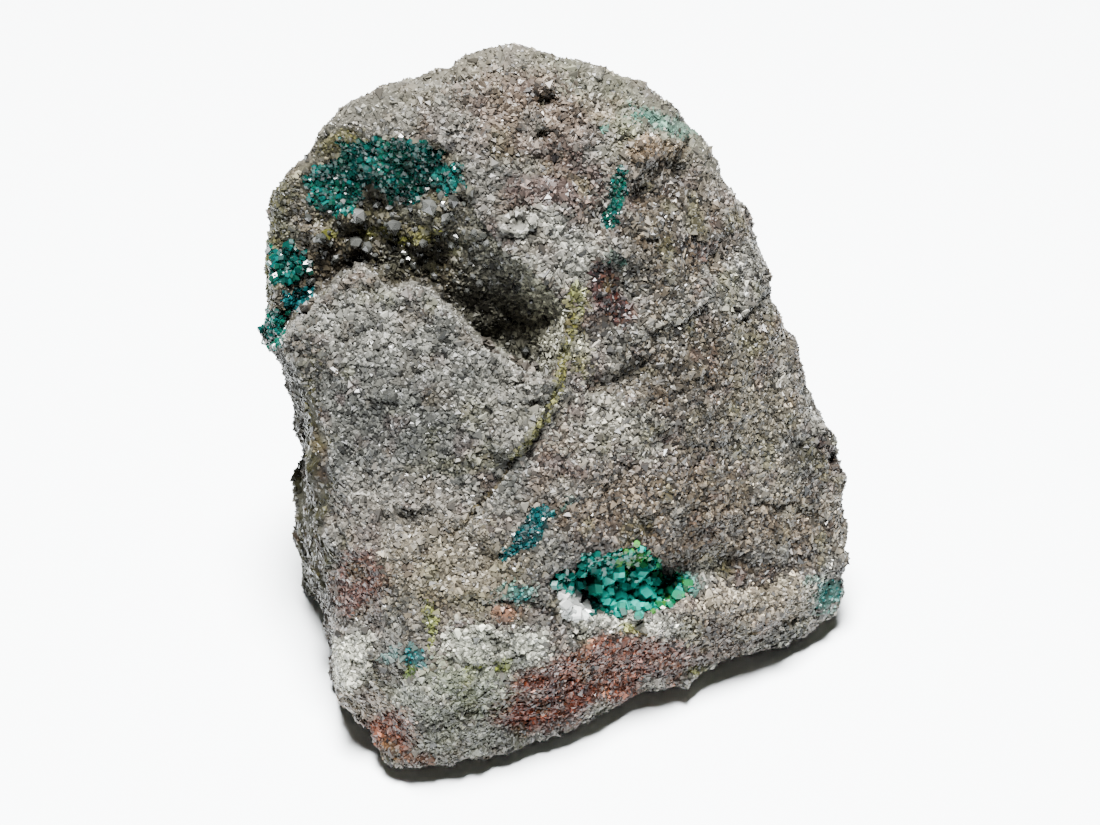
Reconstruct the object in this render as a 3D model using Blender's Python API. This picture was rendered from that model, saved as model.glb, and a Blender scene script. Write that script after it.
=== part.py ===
"""Dioptase on a block of sugary quartz rock, at its real size: metres, +Z up.

The block stands on a flat parting face at Z = 0, with the origin under the middle of its
bounding box. Its mineral face leans back and is looked at from in front (-Y) and above.
The crystals grow on that face as separate crusts, each one a solid of its own.

All lengths below are in millimetres, and are turned to metres where a mesh is made.
"""

import math

import bmesh
import bpy
import numpy as np
from mathutils import Matrix, Vector
from mathutils.bvhtree import BVHTree

MM = 0.001

# Driving dimensions
SIGHT_TILT = math.radians(42.0)
SIGHT_DISTANCE = 220.0
SIGHT_CENTRE = np.array([-1.4, -1.6, 28.0])
BLANK_VOXEL = 0.70
ROCK_VOXEL = 0.45
ROCK_FACES = 4600
CRUST_GAP = 0.34
CUTTER_VOXEL = 0.50
CUTTER_FACES = 16000

# The face is laid out as it is seen along the line of sight. Across and up are measured in the
# plane through SIGHT_CENTRE square to that line, and proud is the height out of that plane.
SIGHT_RIGHT = np.array([1.0, 0.0, 0.0])
SIGHT_UP = np.array([0.0, math.sin(SIGHT_TILT), math.cos(SIGHT_TILT)])
SIGHT_OUT = np.array([0.0, -math.cos(SIGHT_TILT), math.sin(SIGHT_TILT)])
EYE = SIGHT_CENTRE + SIGHT_DISTANCE * SIGHT_OUT

# Corners of the broken block that show on the face: (across, up, proud)
FACE_CORNERS = [
    (-4.2, 33.2, 9.5),
    (-11.3, 30.2, 8.2),
    (-18.7, 27.3, 7.0),
    (-23.2, 21.6, 3.0),
    (-26.0, 16.8, -0.5),
    (-25.6, 8.0, -4.5),
    (-23.0, -4.0, -11.0),
    (-22.6, -12.0, -18.5),
    (-21.8, -15.7, -22.0),
    (-24.3, 6.3, 3.4),
    (-19.9, -2.1, 3.2),
    (-19.0, -15.0, 0.6),
    (-18.9, -22.5, -2.0),
    (-17.8, -27.2, -5.5),
    (-14.6, -31.1, -3.8),
    (-12.3, -31.9, -3.0),
    (-7.8, -31.2, -4.5),
    (3.6, -27.5, -9.0),
    (13.2, -23.8, -12.6),
    (20.5, -20.6, -15.0),
    (26.0, -17.4, -17.5),
    (26.7, -15.0, -16.5),
    (26.1, -5.7, -11.0),
    (23.4, 0.0, -9.0),
    (19.9, 11.5, -5.0),
    (14.0, 24.0, -0.5),
    (8.8, 28.7, 4.0),
    (2.0, 31.8, 7.5),
    (-11.5, -24.9, 3.6),
    (-2.7, -24.3, 1.6),
    (8.0, -20.4, -3.0),
    (14.5, -18.6, -6.5),
    (22.8, -15.4, -11.5),
    (0.9, -13.2, 4.4),
    (13.0, -5.0, -0.4),
    (-1.5, 2.0, 7.2),
    (11.0, 12.5, 4.2),
    (-6.3, 29.8, 10.4),
    (1.0, 28.2, 9.0),
    (8.1, 24.6, 6.0),
    (-12.0, 26.0, 9.3),
]

# Corners behind and beneath, which the face hides: (x, y, z)
HIDDEN_CORNERS = [
    (-23.0, 13.5, 1.5),
    (-9.0, 20.0, -0.6),
    (11.0, 20.5, -0.6),
    (23.0, 12.5, -0.6),
    (22.5, 3.0, -0.6),
    (11.0, -6.5, -0.6),
    (-11.5, -15.5, -0.6),
    (-19.5, -8.5, -0.6),
    (-22.5, 4.5, -0.6),
    (24.0, 13.0, 9.0),
    (20.0, 16.5, 25.0),
    (-23.5, 14.5, 22.0),
    (-2.0, 22.0, 24.0),
    (-17.5, 17.0, 42.0),
    (9.0, 19.0, 41.0),
    (-1.0, 16.5, 52.0),
    (-12.0, 16.0, 49.5),
]

# The outline against the light, clockwise from the crown: (across, up)
OUTLINE = np.array([
    (-4.2, 33.2), (-0.7, 32.2), (4.3, 31.1), (8.8, 28.7), (12.3, 25.9), (13.8, 24.2), (14.3, 23.0),
    (16.0, 20.1), (17.3, 18.7), (18.4, 15.8), (19.5, 13.0), (19.9, 10.1), (21.4, 7.2), (22.1, 4.6),
    (23.4, 0.0), (25.4, -2.8), (26.1, -5.7), (25.7, -8.6), (26.5, -11.4), (26.7, -15.9),
    (26.0, -17.4), (23.1, -19.0), (20.5, -20.6), (16.9, -22.3), (13.2, -23.8), (11.6, -24.8),
    (8.4, -24.7), (5.4, -25.9), (3.6, -27.5), (-0.4, -28.3), (-5.0, -30.1), (-7.3, -30.6),
    (-8.2, -31.2), (-12.3, -31.9), (-14.6, -31.1), (-15.7, -29.4), (-16.3, -28.1), (-17.8, -27.2),
    (-19.1, -26.0), (-19.6, -22.9), (-20.6, -17.3), (-21.8, -15.7), (-22.4, -12.9), (-22.7, -11.0),
    (-22.3, -8.6), (-22.8, -4.3), (-22.7, -1.1), (-23.3, 1.5), (-24.0, 4.3), (-25.4, 5.8),
    (-25.7, 7.2), (-25.0, 10.1), (-25.7, 13.0), (-26.0, 16.8), (-25.0, 20.1), (-23.2, 21.6),
    (-21.6, 23.0), (-19.6, 25.9), (-18.7, 27.3), (-15.8, 28.7), (-11.3, 30.2), (-7.8, 31.6),
])

# The hollow at the upper left: its brow above, and the broken edge of the plate below it
BROW = [
    (-25.8, 17.7), (-23.8, 20.9), (-20.8, 23.4), (-18.4, 24.6), (-13.5, 24.8), (-9.9, 24.3),
    (-8.2, 23.0), (-7.6, 20.7), (-6.7, 18.4), (-5.3, 16.2), (-3.9, 14.4), (-2.2, 13.0),
    (-0.5, 11.6), (0.9, 10.2), (1.6, 8.8), (1.2, 6.8), (1.0, 5.2), (0.2, 3.2),
]
PLATE_EDGE = [
    (0.2, 3.2), (-1.8, 3.5), (-4.0, 4.5), (-6.5, 6.5), (-8.3, 8.5), (-9.8, 10.1), (-11.2, 11.0),
    (-12.6, 11.4), (-13.6, 11.0), (-14.8, 11.2), (-16.0, 12.3), (-16.9, 12.8), (-18.4, 12.3),
    (-19.6, 11.0), (-21.7, 9.7), (-22.8, 8.1), (-23.9, 6.5), (-25.6, 5.6),
]
HOLLOW_SLOPE = 0.95
HOLLOW_CLIFF = 12.0
HOLLOW_DEPTH = 10.5

# Broken steps: the rock is lower by drop on the left of the line, and recovers over fade
STEPS = {
    "plate_flank": ([(2.4, 8.5), (1.3, 5.6), (0.9, 2.5), (-0.2, 0.0), (-1.8, -2.5), (-3.2, -4.0)], 1.0, 6.0),
    "chip_shelf": ([(12.9, 24.2), (11.3, 23.5), (8.5, 22.6), (7.4, 21.7), (6.7, 20.4), (6.2, 18.6)], 1.7, 8.0),
    "right_recess": ([(9.6, 5.8), (8.1, 4.5), (4.5, 3.3), (3.0, 3.6)], 1.5, 3.5),
    "crown_step": ([(1.8, 24.2), (-0.1, 23.9), (-1.5, 23.4), (-2.8, 22.4)], 0.8, 3.0),
    "light_chip": ([(-4.6, 16.3), (-3.0, 15.9), (-1.6, 15.7)], 0.8, 4.0),
    "toe_block": ([(-16.2, -18.6), (-17.6, -18.0), (-19.6, -18.6)], 0.8, 3.0),
}

# Smooth dents: (across, up, half width, half height, depth); a minus depth is a swelling
DENTS = {
    "rust_dent": (7.2, 11.6, 3.4, 3.6, 1.5),
    "flank_dent": (22.6, -3.2, 2.8, 2.0, 1.1),
    "waist": (14.5, -14.0, 7.0, 2.6, 0.9),
    "brow_of_pocket": (3.0, -7.5, 6.0, 3.0, 0.5),
    "valley": (-6.5, -13.0, 6.5, 3.5, 0.7),
    "foot_roll": (17.5, -17.8, 6.0, 1.8, -0.9),
    "plate_belly": (-14.0, -2.0, 7.0, 8.0, -0.7),
    "right_swelling": (13.0, 1.0, 7.0, 6.0, -0.8),
    "upper_swelling": (1.0, 18.5, 4.5, 3.5, -0.9),
    "shoulder_dent": (14.5, 14.0, 3.2, 2.4, 0.8),
}

# Steep-sided pits: (across, up, half width, half height, depth)
PITS = {
    "pocket": (6.6, -15.5, 5.6, 2.8, 3.8),
    "pocket_tail": (2.2, -14.9, 2.0, 1.2, 1.8),
    "crown_pit": (-0.4, 28.0, 1.1, 0.6, 1.5),
    "lower_crown_pit": (-0.9, 25.2, 0.6, 1.0, 1.5),
}

# Cracks: line, half width, depth
CRACKS = {
    "vein_crack": ([(-3.2, -4.0), (-6.3, -8.5), (-8.0, -10.3), (-9.4, -11.2)], 0.35, 0.6),
    "teal_vein": ([(6.3, 21.7), (5.7, 19.5), (5.3, 17.7), (4.8, 16.5)], 0.7, 0.7),
}

# Crusts of dioptase: outline (across, up), spacing of the crystals, their radius range, seed
CRUSTS = {
    "dioptase_upper_druse": (
        [(-22.0, 21.2), (-19.5, 22.6), (-18.8, 24.2), (-14.5, 24.4), (-10.6, 23.6), (-8.4, 22.2),
         (-8.2, 20.2), (-11.2, 19.8), (-13.2, 18.4), (-14.4, 19.6), (-16.6, 20.6), (-17.6, 18.2),
         (-19.2, 17.6), (-21.4, 19.0)], 1.30, (0.80, 1.15), 3),
    "dioptase_left_druse": ([(-25.1, 14.6), (-22.4, 14.6), (-21.8, 12.4), (-24.8, 11.8)], 1.1, (0.7, 0.9), 5),
    "dioptase_left_seam": ([(-23.6, 10.8), (-21.4, 10.9), (-21.8, 9.4), (-23.6, 9.0)], 0.9, (0.6, 0.75), 7),
    "dioptase_left_rim": ([(-25.5, 8.9), (-24.2, 8.6), (-24.3, 6.4), (-25.4, 6.2)], 0.9, (0.6, 0.8), 11),
    "dioptase_vein": ([(5.6, 21.9), (6.9, 21.9), (6.1, 16.9), (4.5, 16.6)], 0.85, (0.55, 0.7), 13),
    "dioptase_streak": ([(-4.6, -12.4), (-3.6, -13.0), (0.2, -9.2), (-0.6, -8.0), (-1.6, -8.6)], 0.9, (0.55, 0.75), 17),
    "dioptase_spot": ([(-3.5, -15.6), (-1.7, -15.4), (-2.0, -17.2), (-3.3, -16.8)], 0.85, (0.5, 0.65), 19),
    "dioptase_toe_patch": ([(-14.4, -21.3), (-11.2, -21.2), (-11.6, -23.2), (-13.6, -23.0)], 0.9, (0.55, 0.75), 23),
    "dioptase_corner_patch": ([(23.6, -14.8), (26.2, -14.6), (26.2, -17.0), (24.0, -17.4)], 0.9, (0.6, 0.8), 29),
    "dioptase_pocket": (
        [(0.9, -14.2), (2.8, -12.9), (6.0, -12.5), (9.6, -13.0), (12.2, -14.6), (11.4, -16.8),
         (8.8, -18.0), (6.2, -18.0), (4.6, -16.4), (2.4, -15.2), (0.9, -15.2)], 1.25, (0.75, 1.1), 31),
}
PALE_LUMP = ([(0.6, -17.0), (2.2, -17.1), (3.2, -18.0), (2.6, -18.6), (1.0, -18.3)], 0.75, (0.5, 0.65), 37)

# Large clear quartz grains on the wall of the hollow: (across, up, radius)
QUARTZ_GRAINS = [
    (-17.4, 17.7, 1.15), (-13.9, 17.0, 1.05), (-17.3, 15.4, 0.95), (-16.1, 14.8, 0.85), (-10.4, 18.6, 1.0),
    (-9.6, 17.0, 0.9), (-8.6, 18.9, 0.8), (-12.3, 18.3, 0.7), (-20.5, 15.6, 0.8), (-21.4, 17.0, 0.7),
    (-6.7, 16.0, 0.7), (-11.4, 15.2, 0.7), (-4.2, 10.2, 0.6), (-1.9, 9.2, 0.55),
]


def smoothstep(low, high, x):
    """0 below low, 1 above high, and a smooth rise between them."""
    t = np.clip((x - low) / (high - low), 0.0, 1.0)
    return t * t * (3.0 - 2.0 * t)


def seen(points):
    """(across, up, proud) of points, as they lie on the line of sight."""
    rel = points - EYE
    reach = -(rel @ SIGHT_OUT)
    return np.stack([
        (rel @ SIGHT_RIGHT) * SIGHT_DISTANCE / reach,
        (rel @ SIGHT_UP) * SIGHT_DISTANCE / reach,
        SIGHT_DISTANCE - reach,
    ], axis=1)


def placed(face_points):
    """The points at (across, up, proud): the reverse of seen."""
    across, up, proud = np.asarray(face_points, float).T
    reach = SIGHT_DISTANCE - proud
    ray = np.outer(across, SIGHT_RIGHT) + np.outer(up, SIGHT_UP) - SIGHT_DISTANCE * SIGHT_OUT
    return EYE + ray * (reach / SIGHT_DISTANCE)[:, None]


def lattice_noise(points, cell, seed):
    """Smooth noise from -1 to 1, with lumps about one cell across."""
    q = points / cell
    base = np.floor(q).astype(np.int64)
    f = q - base
    f = f * f * (3.0 - 2.0 * f)
    total = np.zeros(len(points))
    for corner in np.ndindex(2, 2, 2):
        weight = np.prod(np.where(np.array(corner) == 1, f, 1.0 - f), axis=1)
        total += weight * lattice_value(base + corner, seed)
    return total


def lattice_value(cells, seed):
    """A fixed number from -1 to 1 for each whole-numbered cell."""
    mixed = cells @ np.array([73856093, 19349663, 83492791]) + seed * 2654435761
    mixed = (mixed ^ (mixed >> 13)) * 1274126177
    mixed = mixed ^ (mixed >> 16)
    return (mixed & 0xFFFFF) / float(0x7FFFF) - 1.0


def chipped_facets(points, cell, seed):
    """Heights of flat tilted chips, about one cell across, that meet in sharp edges."""
    q = points / cell
    base = np.floor(q).astype(np.int64)
    nearest = np.full(len(points), np.inf)
    height = np.zeros(len(points))
    for step in np.ndindex(3, 3, 3):
        cells = base + np.array(step) - 1
        jitter = np.stack([lattice_value(cells, seed + k) for k in range(3)], axis=1)
        off = q - (cells + 0.5 + 0.45 * jitter)
        gap = (off**2).sum(axis=1)
        tilt = np.stack([lattice_value(cells, seed + 5 + k) for k in range(3)], axis=1)
        closer = gap < nearest
        nearest = np.where(closer, gap, nearest)
        height = np.where(closer, (off * tilt).sum(axis=1), height)
    return height * cell


def nearest_on_line(flat, line):
    """(distance, side, along) of the nearest place on a line: side is 1 on its left and -1 on its right."""
    line = np.asarray(line, float)
    start, run = line[:-1], np.diff(line, axis=0)
    length = np.linalg.norm(run, axis=1)
    rel = flat[:, None, :] - start
    t = np.clip((rel * run).sum(axis=2) / length**2, 0.0, 1.0)
    off = rel - t[..., None] * run
    gap = np.linalg.norm(off, axis=2)
    k = gap.argmin(axis=1)
    row = np.arange(len(flat))
    turn = run[k, 0] * off[row, k, 1] - run[k, 1] * off[row, k, 0]
    reached = np.concatenate([[0.0], np.cumsum(length)])
    return gap[row, k], np.sign(turn), reached[k] + t[row, k] * length[k]


def inside(flat, outline):
    """True for each flat point inside the closed outline, by counting crossings."""
    outline = np.asarray(outline, float)
    result = np.zeros(len(flat), bool)
    for (x0, y0), (x1, y1) in zip(outline, np.roll(outline, -1, axis=0)):
        crosses = (y0 > flat[:, 1]) != (y1 > flat[:, 1])
        if y0 != y1:
            result ^= crosses & (flat[:, 0] < (x1 - x0) * (flat[:, 1] - y0) / (y1 - y0) + x0)
    return result


def outline_reach(outline, angles):
    """How far a closed outline lies from the middle, in each direction."""
    ends = np.roll(outline, -1, axis=0)
    share = np.linspace(0.0, 1.0, 20, endpoint=False)[:, None, None]
    dense = (outline + (ends - outline) * share).reshape(-1, 2)
    bearing = np.arctan2(dense[:, 1], dense[:, 0])
    order = bearing.argsort()
    reach = np.linalg.norm(dense, axis=1)
    return np.interp(angles, bearing[order], reach[order], period=2.0 * math.pi)


def new_object(name, points, faces):
    """A mesh object from points in millimetres."""
    mesh = bpy.data.meshes.new(name)
    mesh.from_pydata((np.asarray(points) * MM).tolist(), [], faces)
    obj = bpy.data.objects.new(name, mesh)
    bpy.context.scene.collection.objects.link(obj)
    return obj


def points_of(mesh):
    """The mesh's points in millimetres."""
    flat = np.empty(len(mesh.vertices) * 3, np.float32)
    mesh.vertices.foreach_get("co", flat)
    return flat.reshape(-1, 3).astype(float) / MM


def normals_of(mesh):
    """The mesh's vertex normals."""
    flat = np.empty(len(mesh.vertices) * 3, np.float32)
    mesh.vertices.foreach_get("normal", flat)
    return flat.reshape(-1, 3).astype(float)


def set_points(mesh, points):
    """Moves the mesh's points, given in millimetres."""
    mesh.vertices.foreach_set("co", (points * MM).astype(np.float32).ravel())
    mesh.update()


def settle(obj):
    """Replaces the object's mesh by what its modifiers make of it."""
    graph = bpy.context.evaluated_depsgraph_get()
    mesh = bpy.data.meshes.new_from_object(obj.evaluated_get(graph))
    obj.modifiers.clear()
    obj.data = mesh


def even_out(obj, voxel):
    """Rebuilds the surface as even quads, voxel millimetres across."""
    remesh = obj.modifiers.new("even", "REMESH")
    remesh.mode = "VOXEL"
    remesh.voxel_size = voxel * MM
    settle(obj)


def broken_block():
    """The convex blank: the hull of all its corners."""
    corners = np.vstack([placed(FACE_CORNERS), np.array(HIDDEN_CORNERS)])
    bm = bmesh.new()
    for corner in corners:
        bm.verts.new(corner)
    bmesh.ops.convex_hull(bm, input=bm.verts)
    bmesh.ops.delete(bm, geom=[v for v in bm.verts if not v.link_faces], context="VERTS")
    points = [tuple(v.co) for v in bm.verts]
    bm.verts.index_update()
    faces = [[v.index for v in f.verts] for f in bm.faces]
    bm.free()
    return new_object("quartz_rock", points, faces), np.array(points)


def trim_to_outline(points, blank_corners):
    """Draws the rim of the block in or out until its outline is OUTLINE."""
    face = seen(points)
    flat_corners = seen(blank_corners)[:, :2]
    hull = convex_outline(flat_corners)
    angles = np.arctan2(face[:, 1], face[:, 0])
    blank_reach = outline_reach(hull, angles)
    wanted = outline_reach(OUTLINE, angles)
    share = np.linalg.norm(face[:, :2], axis=1) / blank_reach
    stretch = 1.0 + (wanted / blank_reach - 1.0) * smoothstep(0.55, 0.97, share)
    face[:, :2] *= stretch[:, None]
    return placed(face)


def convex_outline(flat):
    """The flat points' convex outline, in order."""
    bm = bmesh.new()
    for x, y in flat:
        bm.verts.new((x, y, 0.0))
    found = bmesh.ops.convex_hull(bm, input=bm.verts)["geom"]
    rim = np.array([v.co.xy for v in found if isinstance(v, bmesh.types.BMVert)])
    bm.free()
    return rim[np.arctan2(rim[:, 1], rim[:, 0]).argsort()]


def carved_depth(flat):
    """How deep the face is carved along the line of sight, at each (across, up)."""
    warp = np.stack([flat[:, 0], flat[:, 1], np.zeros(len(flat))], axis=1)
    ragged = flat + 0.35 * np.stack([lattice_noise(warp, 1.6, 71), lattice_noise(warp, 1.6, 72)], axis=1)

    brow_gap, _, _ = nearest_on_line(ragged, BROW)
    edge_gap, _, _ = nearest_on_line(ragged, PLATE_EDGE)
    slope = HOLLOW_SLOPE * (1.0 + 1.5 * smoothstep(-8.0, -1.0, flat[:, 0]))
    wall = HOLLOW_DEPTH * (1.0 - np.exp(-slope * brow_gap / HOLLOW_DEPTH))
    depth = np.where(inside(ragged, BROW + PLATE_EDGE[1:]), np.minimum(wall, HOLLOW_CLIFF * edge_gap), 0.0)

    for line, drop, fade in STEPS.values():
        gap, side, along = nearest_on_line(ragged, line)
        _, _, end = nearest_on_line(np.array([line[-1]]), line)
        taper = smoothstep(0.0, 1.5, along) * smoothstep(0.0, 1.5, end[0] - along)
        lowered = smoothstep(0.0, 0.4, gap) * (1.0 - smoothstep(0.4, fade, gap))
        depth += np.where(side > 0, drop * lowered * taper, 0.0)
    for across, up, half_width, half_height, dent in DENTS.values():
        share = np.hypot((ragged[:, 0] - across) / half_width, (ragged[:, 1] - up) / half_height)
        depth += dent * (1.0 - smoothstep(0.0, 1.0, share))
    for across, up, half_width, half_height, pit in PITS.values():
        share = np.hypot((ragged[:, 0] - across) / half_width, (ragged[:, 1] - up) / half_height)
        depth += pit * (1.0 - smoothstep(0.72, 1.08, share))
    for line, half_width, crack in CRACKS.values():
        gap, _, _ = nearest_on_line(ragged, line)
        depth += crack * (1.0 - smoothstep(0.0, half_width, gap))
    rim_gap, _, _ = nearest_on_line(flat, np.vstack([OUTLINE, OUTLINE[:1]]))
    return depth * smoothstep(0.0, 2.5, rim_gap)


def carve_face(obj):
    """Presses the hollow, steps, dents, pits and cracks into the side that is looked at."""
    points, normals = points_of(obj.data), normals_of(obj.data)
    to_eye = EYE - points
    to_eye /= np.linalg.norm(to_eye, axis=1)[:, None]
    facing = (normals * to_eye).sum(axis=1)
    face = seen(points)
    face[:, 2] -= carved_depth(face[:, :2]) * smoothstep(0.02, 0.25, facing)
    set_points(obj.data, placed(face))


def roughen(obj):
    """Breaks the surface into chips and lumps."""
    points, normals = points_of(obj.data), normals_of(obj.data)
    hidden = smoothstep(-1.0, 3.0, -seen(points)[:, 2] - 9.0)
    lumps = 0.22 * lattice_noise(points, 6.5, 1) + 0.12 * lattice_noise(points, 2.8, 2)
    chips = (0.09 + 0.20 * hidden) * chipped_facets(points, 5.5, 3) + 0.07 * chipped_facets(points, 2.6, 20)
    set_points(obj.data, points + normals * (lumps + chips)[:, None])


def thin_out(obj, faces):
    """Keeps about that many triangles, most of them where the surface turns."""
    count = sum(len(p.vertices) - 2 for p in obj.data.polygons)
    thin = obj.modifiers.new("thin", "DECIMATE")
    thin.ratio = faces / count
    thin.use_collapse_triangulate = True
    settle(obj)


def stand_flat(obj):
    """Cuts off what lies below Z = 0, which leaves the parting face it rests on."""
    bm = bmesh.new()
    bm.from_mesh(obj.data)
    everything = list(bm.verts) + list(bm.edges) + list(bm.faces)
    cut = bmesh.ops.bisect_plane(bm, geom=everything, plane_co=(0, 0, 0), plane_no=(0, 0, -1), clear_outer=True)
    rim = [e for e in cut["geom_cut"] if isinstance(e, bmesh.types.BMEdge)]
    bmesh.ops.contextual_create(bm, geom=rim)
    bmesh.ops.triangulate(bm, faces=[f for f in bm.faces if len(f.verts) > 3])
    bmesh.ops.recalc_face_normals(bm, faces=bm.faces)
    bm.to_mesh(obj.data)
    bm.free()


def crystal_shape(radius, length, steepness=0.75):
    """A six-sided prism under a three-faced rhombohedral tip, standing on its root at the origin."""
    turn = np.arange(6) * math.pi / 3.0
    ring = radius * np.stack([np.cos(turn), np.sin(turn)], axis=1)
    face_way = np.arange(3) * 2.0 * math.pi / 3.0
    fall = (ring @ np.stack([np.cos(face_way), np.sin(face_way)])).max(axis=1)
    points = [(x, y, 0.0) for x, y in ring]
    points += [(x, y, length - steepness * drop) for (x, y), drop in zip(ring, fall)]
    points += [(0.0, 0.0, length)]
    faces = [(i, (i + 1) % 6, 6 + (i + 1) % 6, 6 + i) for i in range(6)]
    faces += [(12, 6 + (i - 1) % 6, 6 + i, 6 + (i + 1) % 6) for i in (0, 2, 4)]
    faces += [(5, 4, 3, 2, 1, 0)]
    return np.array(points), faces


def leaning(normal, generator, tilt):
    """A turn that stands a crystal along the surface normal, tilted and spun at random."""
    axis = (Vector(normal) + tilt * Vector(generator.normal(size=3))).normalized()
    spin = Matrix.Rotation(generator.uniform(0.0, 2.0 * math.pi), 3, "Z")
    return np.array(axis.to_track_quat("Z", "Y").to_matrix() @ spin)


def rock_under(tree, across, up):
    """(place, normal) where the line of sight at (across, up) meets the rock."""
    aim = placed([(across, up, 0.0)])[0]
    hit, normal, _, _ = tree.ray_cast(Vector(EYE * MM), Vector(aim - EYE).normalized())
    return (None, None) if hit is None else (np.array(hit) / MM, np.array(normal))


def spots_in(outline, spacing, generator):
    """Jittered rows of places inside an outline."""
    outline = np.asarray(outline, float)
    low, high = outline.min(axis=0), outline.max(axis=0)
    rows = np.arange(low[1], high[1], spacing * 0.87)
    columns = np.arange(low[0], high[0] + spacing, spacing)
    x, y = np.meshgrid(columns, rows)
    x[1::2] += spacing / 2.0
    spots = np.stack([x.ravel(), y.ravel()], axis=1)
    spots += generator.uniform(-0.18, 0.18, spots.shape) * spacing
    return spots[inside(spots, outline)]


def largest_piece(obj):
    """Drops every loose piece of the mesh but the largest."""
    bm = bmesh.new()
    bm.from_mesh(obj.data)
    unseen, pieces = set(bm.verts), []
    while unseen:
        stack = [unseen.pop()]
        piece = set(stack)
        while stack:
            for edge in stack.pop().link_edges:
                for vert in edge.verts:
                    if vert in unseen:
                        unseen.remove(vert)
                        piece.add(vert)
                        stack.append(vert)
        pieces.append(piece)
    keep = max(pieces, key=len)
    bmesh.ops.delete(bm, geom=[v for v in bm.verts if v not in keep], context="VERTS")
    bm.to_mesh(obj.data)
    bm.free()


def boolean(obj, operation, others):
    """Joins other solids to the object, or cuts them out of it."""
    group = bpy.data.collections.new("others")
    bpy.context.scene.collection.children.link(group)
    for other in others:
        group.objects.link(other)
    step = obj.modifiers.new(operation.lower(), "BOOLEAN")
    step.operation = operation
    step.solver = "EXACT"
    step.operand_type = "COLLECTION"
    step.collection = group
    settle(obj)
    for other in others:
        group.objects.unlink(other)
    bpy.data.collections.remove(group)


def swollen_copy(obj, gap):
    """A copy of the rock grown by gap all round, to cut the crusts' undersides."""
    copy = bpy.data.objects.new("swollen_rock", obj.data.copy())
    bpy.context.scene.collection.objects.link(copy)
    even_out(copy, CUTTER_VOXEL)
    set_points(copy.data, points_of(copy.data) + normals_of(copy.data) * gap)
    even_out(copy, CUTTER_VOXEL)
    thin_out(copy, CUTTER_FACES)
    return copy


def crystal_crust(name, tree, cutter, outline, spacing, radii, seed):
    """Intergrown crystals that stand on the rock inside an outline, as one solid."""
    generator = np.random.default_rng(seed)
    crystals = []
    for across, up in spots_in(outline, spacing, generator):
        place, normal = rock_under(tree, across, up)
        if place is None:
            continue
        radius = generator.uniform(*radii)
        length = radius * generator.uniform(2.2, 3.0)
        shape, faces = crystal_shape(radius, length)
        root = place - normal * 0.36 * length
        crystals.append(new_object(name, shape @ leaning(normal, generator, 0.22).T + root, faces))
    crust = crystals.pop()
    boolean(crust, "UNION", crystals)
    for crystal in crystals:
        bpy.data.objects.remove(crystal)
    boolean(crust, "DIFFERENCE", [cutter])
    largest_piece(crust)
    return crust


def quartz_grains(tree):
    """The large clear grains, to be fused to the rock."""
    generator = np.random.default_rng(41)
    grains = []
    for across, up, radius in QUARTZ_GRAINS:
        place, normal = rock_under(tree, across, up)
        shape, faces = crystal_shape(radius, 2.0 * radius, 0.5)
        points = shape @ leaning(normal, generator, 0.5).T + place - normal * 0.9 * radius
        grains.append(new_object("quartz_grain", points, faces))
    return grains


def centre_all(objects):
    """Moves everything so that the origin is under the middle of the bounding box."""
    clouds = [points_of(obj.data) for obj in objects]
    low = np.min([cloud.min(axis=0) for cloud in clouds], axis=0)
    high = np.max([cloud.max(axis=0) for cloud in clouds], axis=0)
    middle = np.array([(low[0] + high[0]) / 2.0, (low[1] + high[1]) / 2.0, 0.0])
    for obj, cloud in zip(objects, clouds):
        set_points(obj.data, cloud - middle)


def finish(obj, name, colour, roughness, transmission=0.0):
    """Gives the object its name and its material."""
    obj.name = name
    material = bpy.data.materials.new(name)
    material.use_nodes = True
    shader = material.node_tree.nodes["Principled BSDF"]
    shader.inputs["Base Color"].default_value = (*colour, 1.0)
    shader.inputs["Roughness"].default_value = roughness
    shader.inputs["Metallic"].default_value = 0.0
    shader.inputs["Transmission Weight"].default_value = transmission
    material.diffuse_color = (*colour, 1.0)
    obj.data.materials.clear()
    obj.data.materials.append(material)
    obj.data.shade_flat()


def main():
    """Builds the rock and grows the crusts on it."""
    for obj in list(bpy.data.objects):
        bpy.data.objects.remove(obj)

    rock, blank_corners = broken_block()
    even_out(rock, BLANK_VOXEL)
    set_points(rock.data, trim_to_outline(points_of(rock.data), blank_corners))
    carve_face(rock)
    even_out(rock, ROCK_VOXEL)
    roughen(rock)
    thin_out(rock, ROCK_FACES)
    stand_flat(rock)

    tree = BVHTree.FromObject(rock, bpy.context.evaluated_depsgraph_get())
    grains = quartz_grains(tree)
    boolean(rock, "UNION", grains)
    for grain in grains:
        bpy.data.objects.remove(grain)

    cutter = swollen_copy(rock, CRUST_GAP)
    for name, (outline, spacing, radii, seed) in CRUSTS.items():
        crust = crystal_crust(name, tree, cutter, outline, spacing, radii, seed)
        finish(crust, name, (0.0, 0.16, 0.13), 0.12, 0.4)
    lump = crystal_crust("pale_quartz_lump", tree, cutter, *PALE_LUMP)
    finish(lump, "pale_quartz_lump", (0.62, 0.63, 0.6), 0.3, 0.2)
    bpy.data.objects.remove(cutter)
    finish(rock, "quartz_rock", (0.24, 0.22, 0.19), 0.8)
    centre_all(list(bpy.data.objects))


main()
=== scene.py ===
"""The look of a dioptase specimen on sugary quartz rock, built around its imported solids.

Lengths are in millimetres until a mesh or an object is made, and +Z is up. Places on the mineral
face are given as it is seen along the line of sight: across and up from the middle of the face.
"""

import logging
import math
from dataclasses import dataclass, field
from enum import Enum

import bmesh
import bpy
import numpy as np
from mathutils import Matrix, Vector


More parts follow.
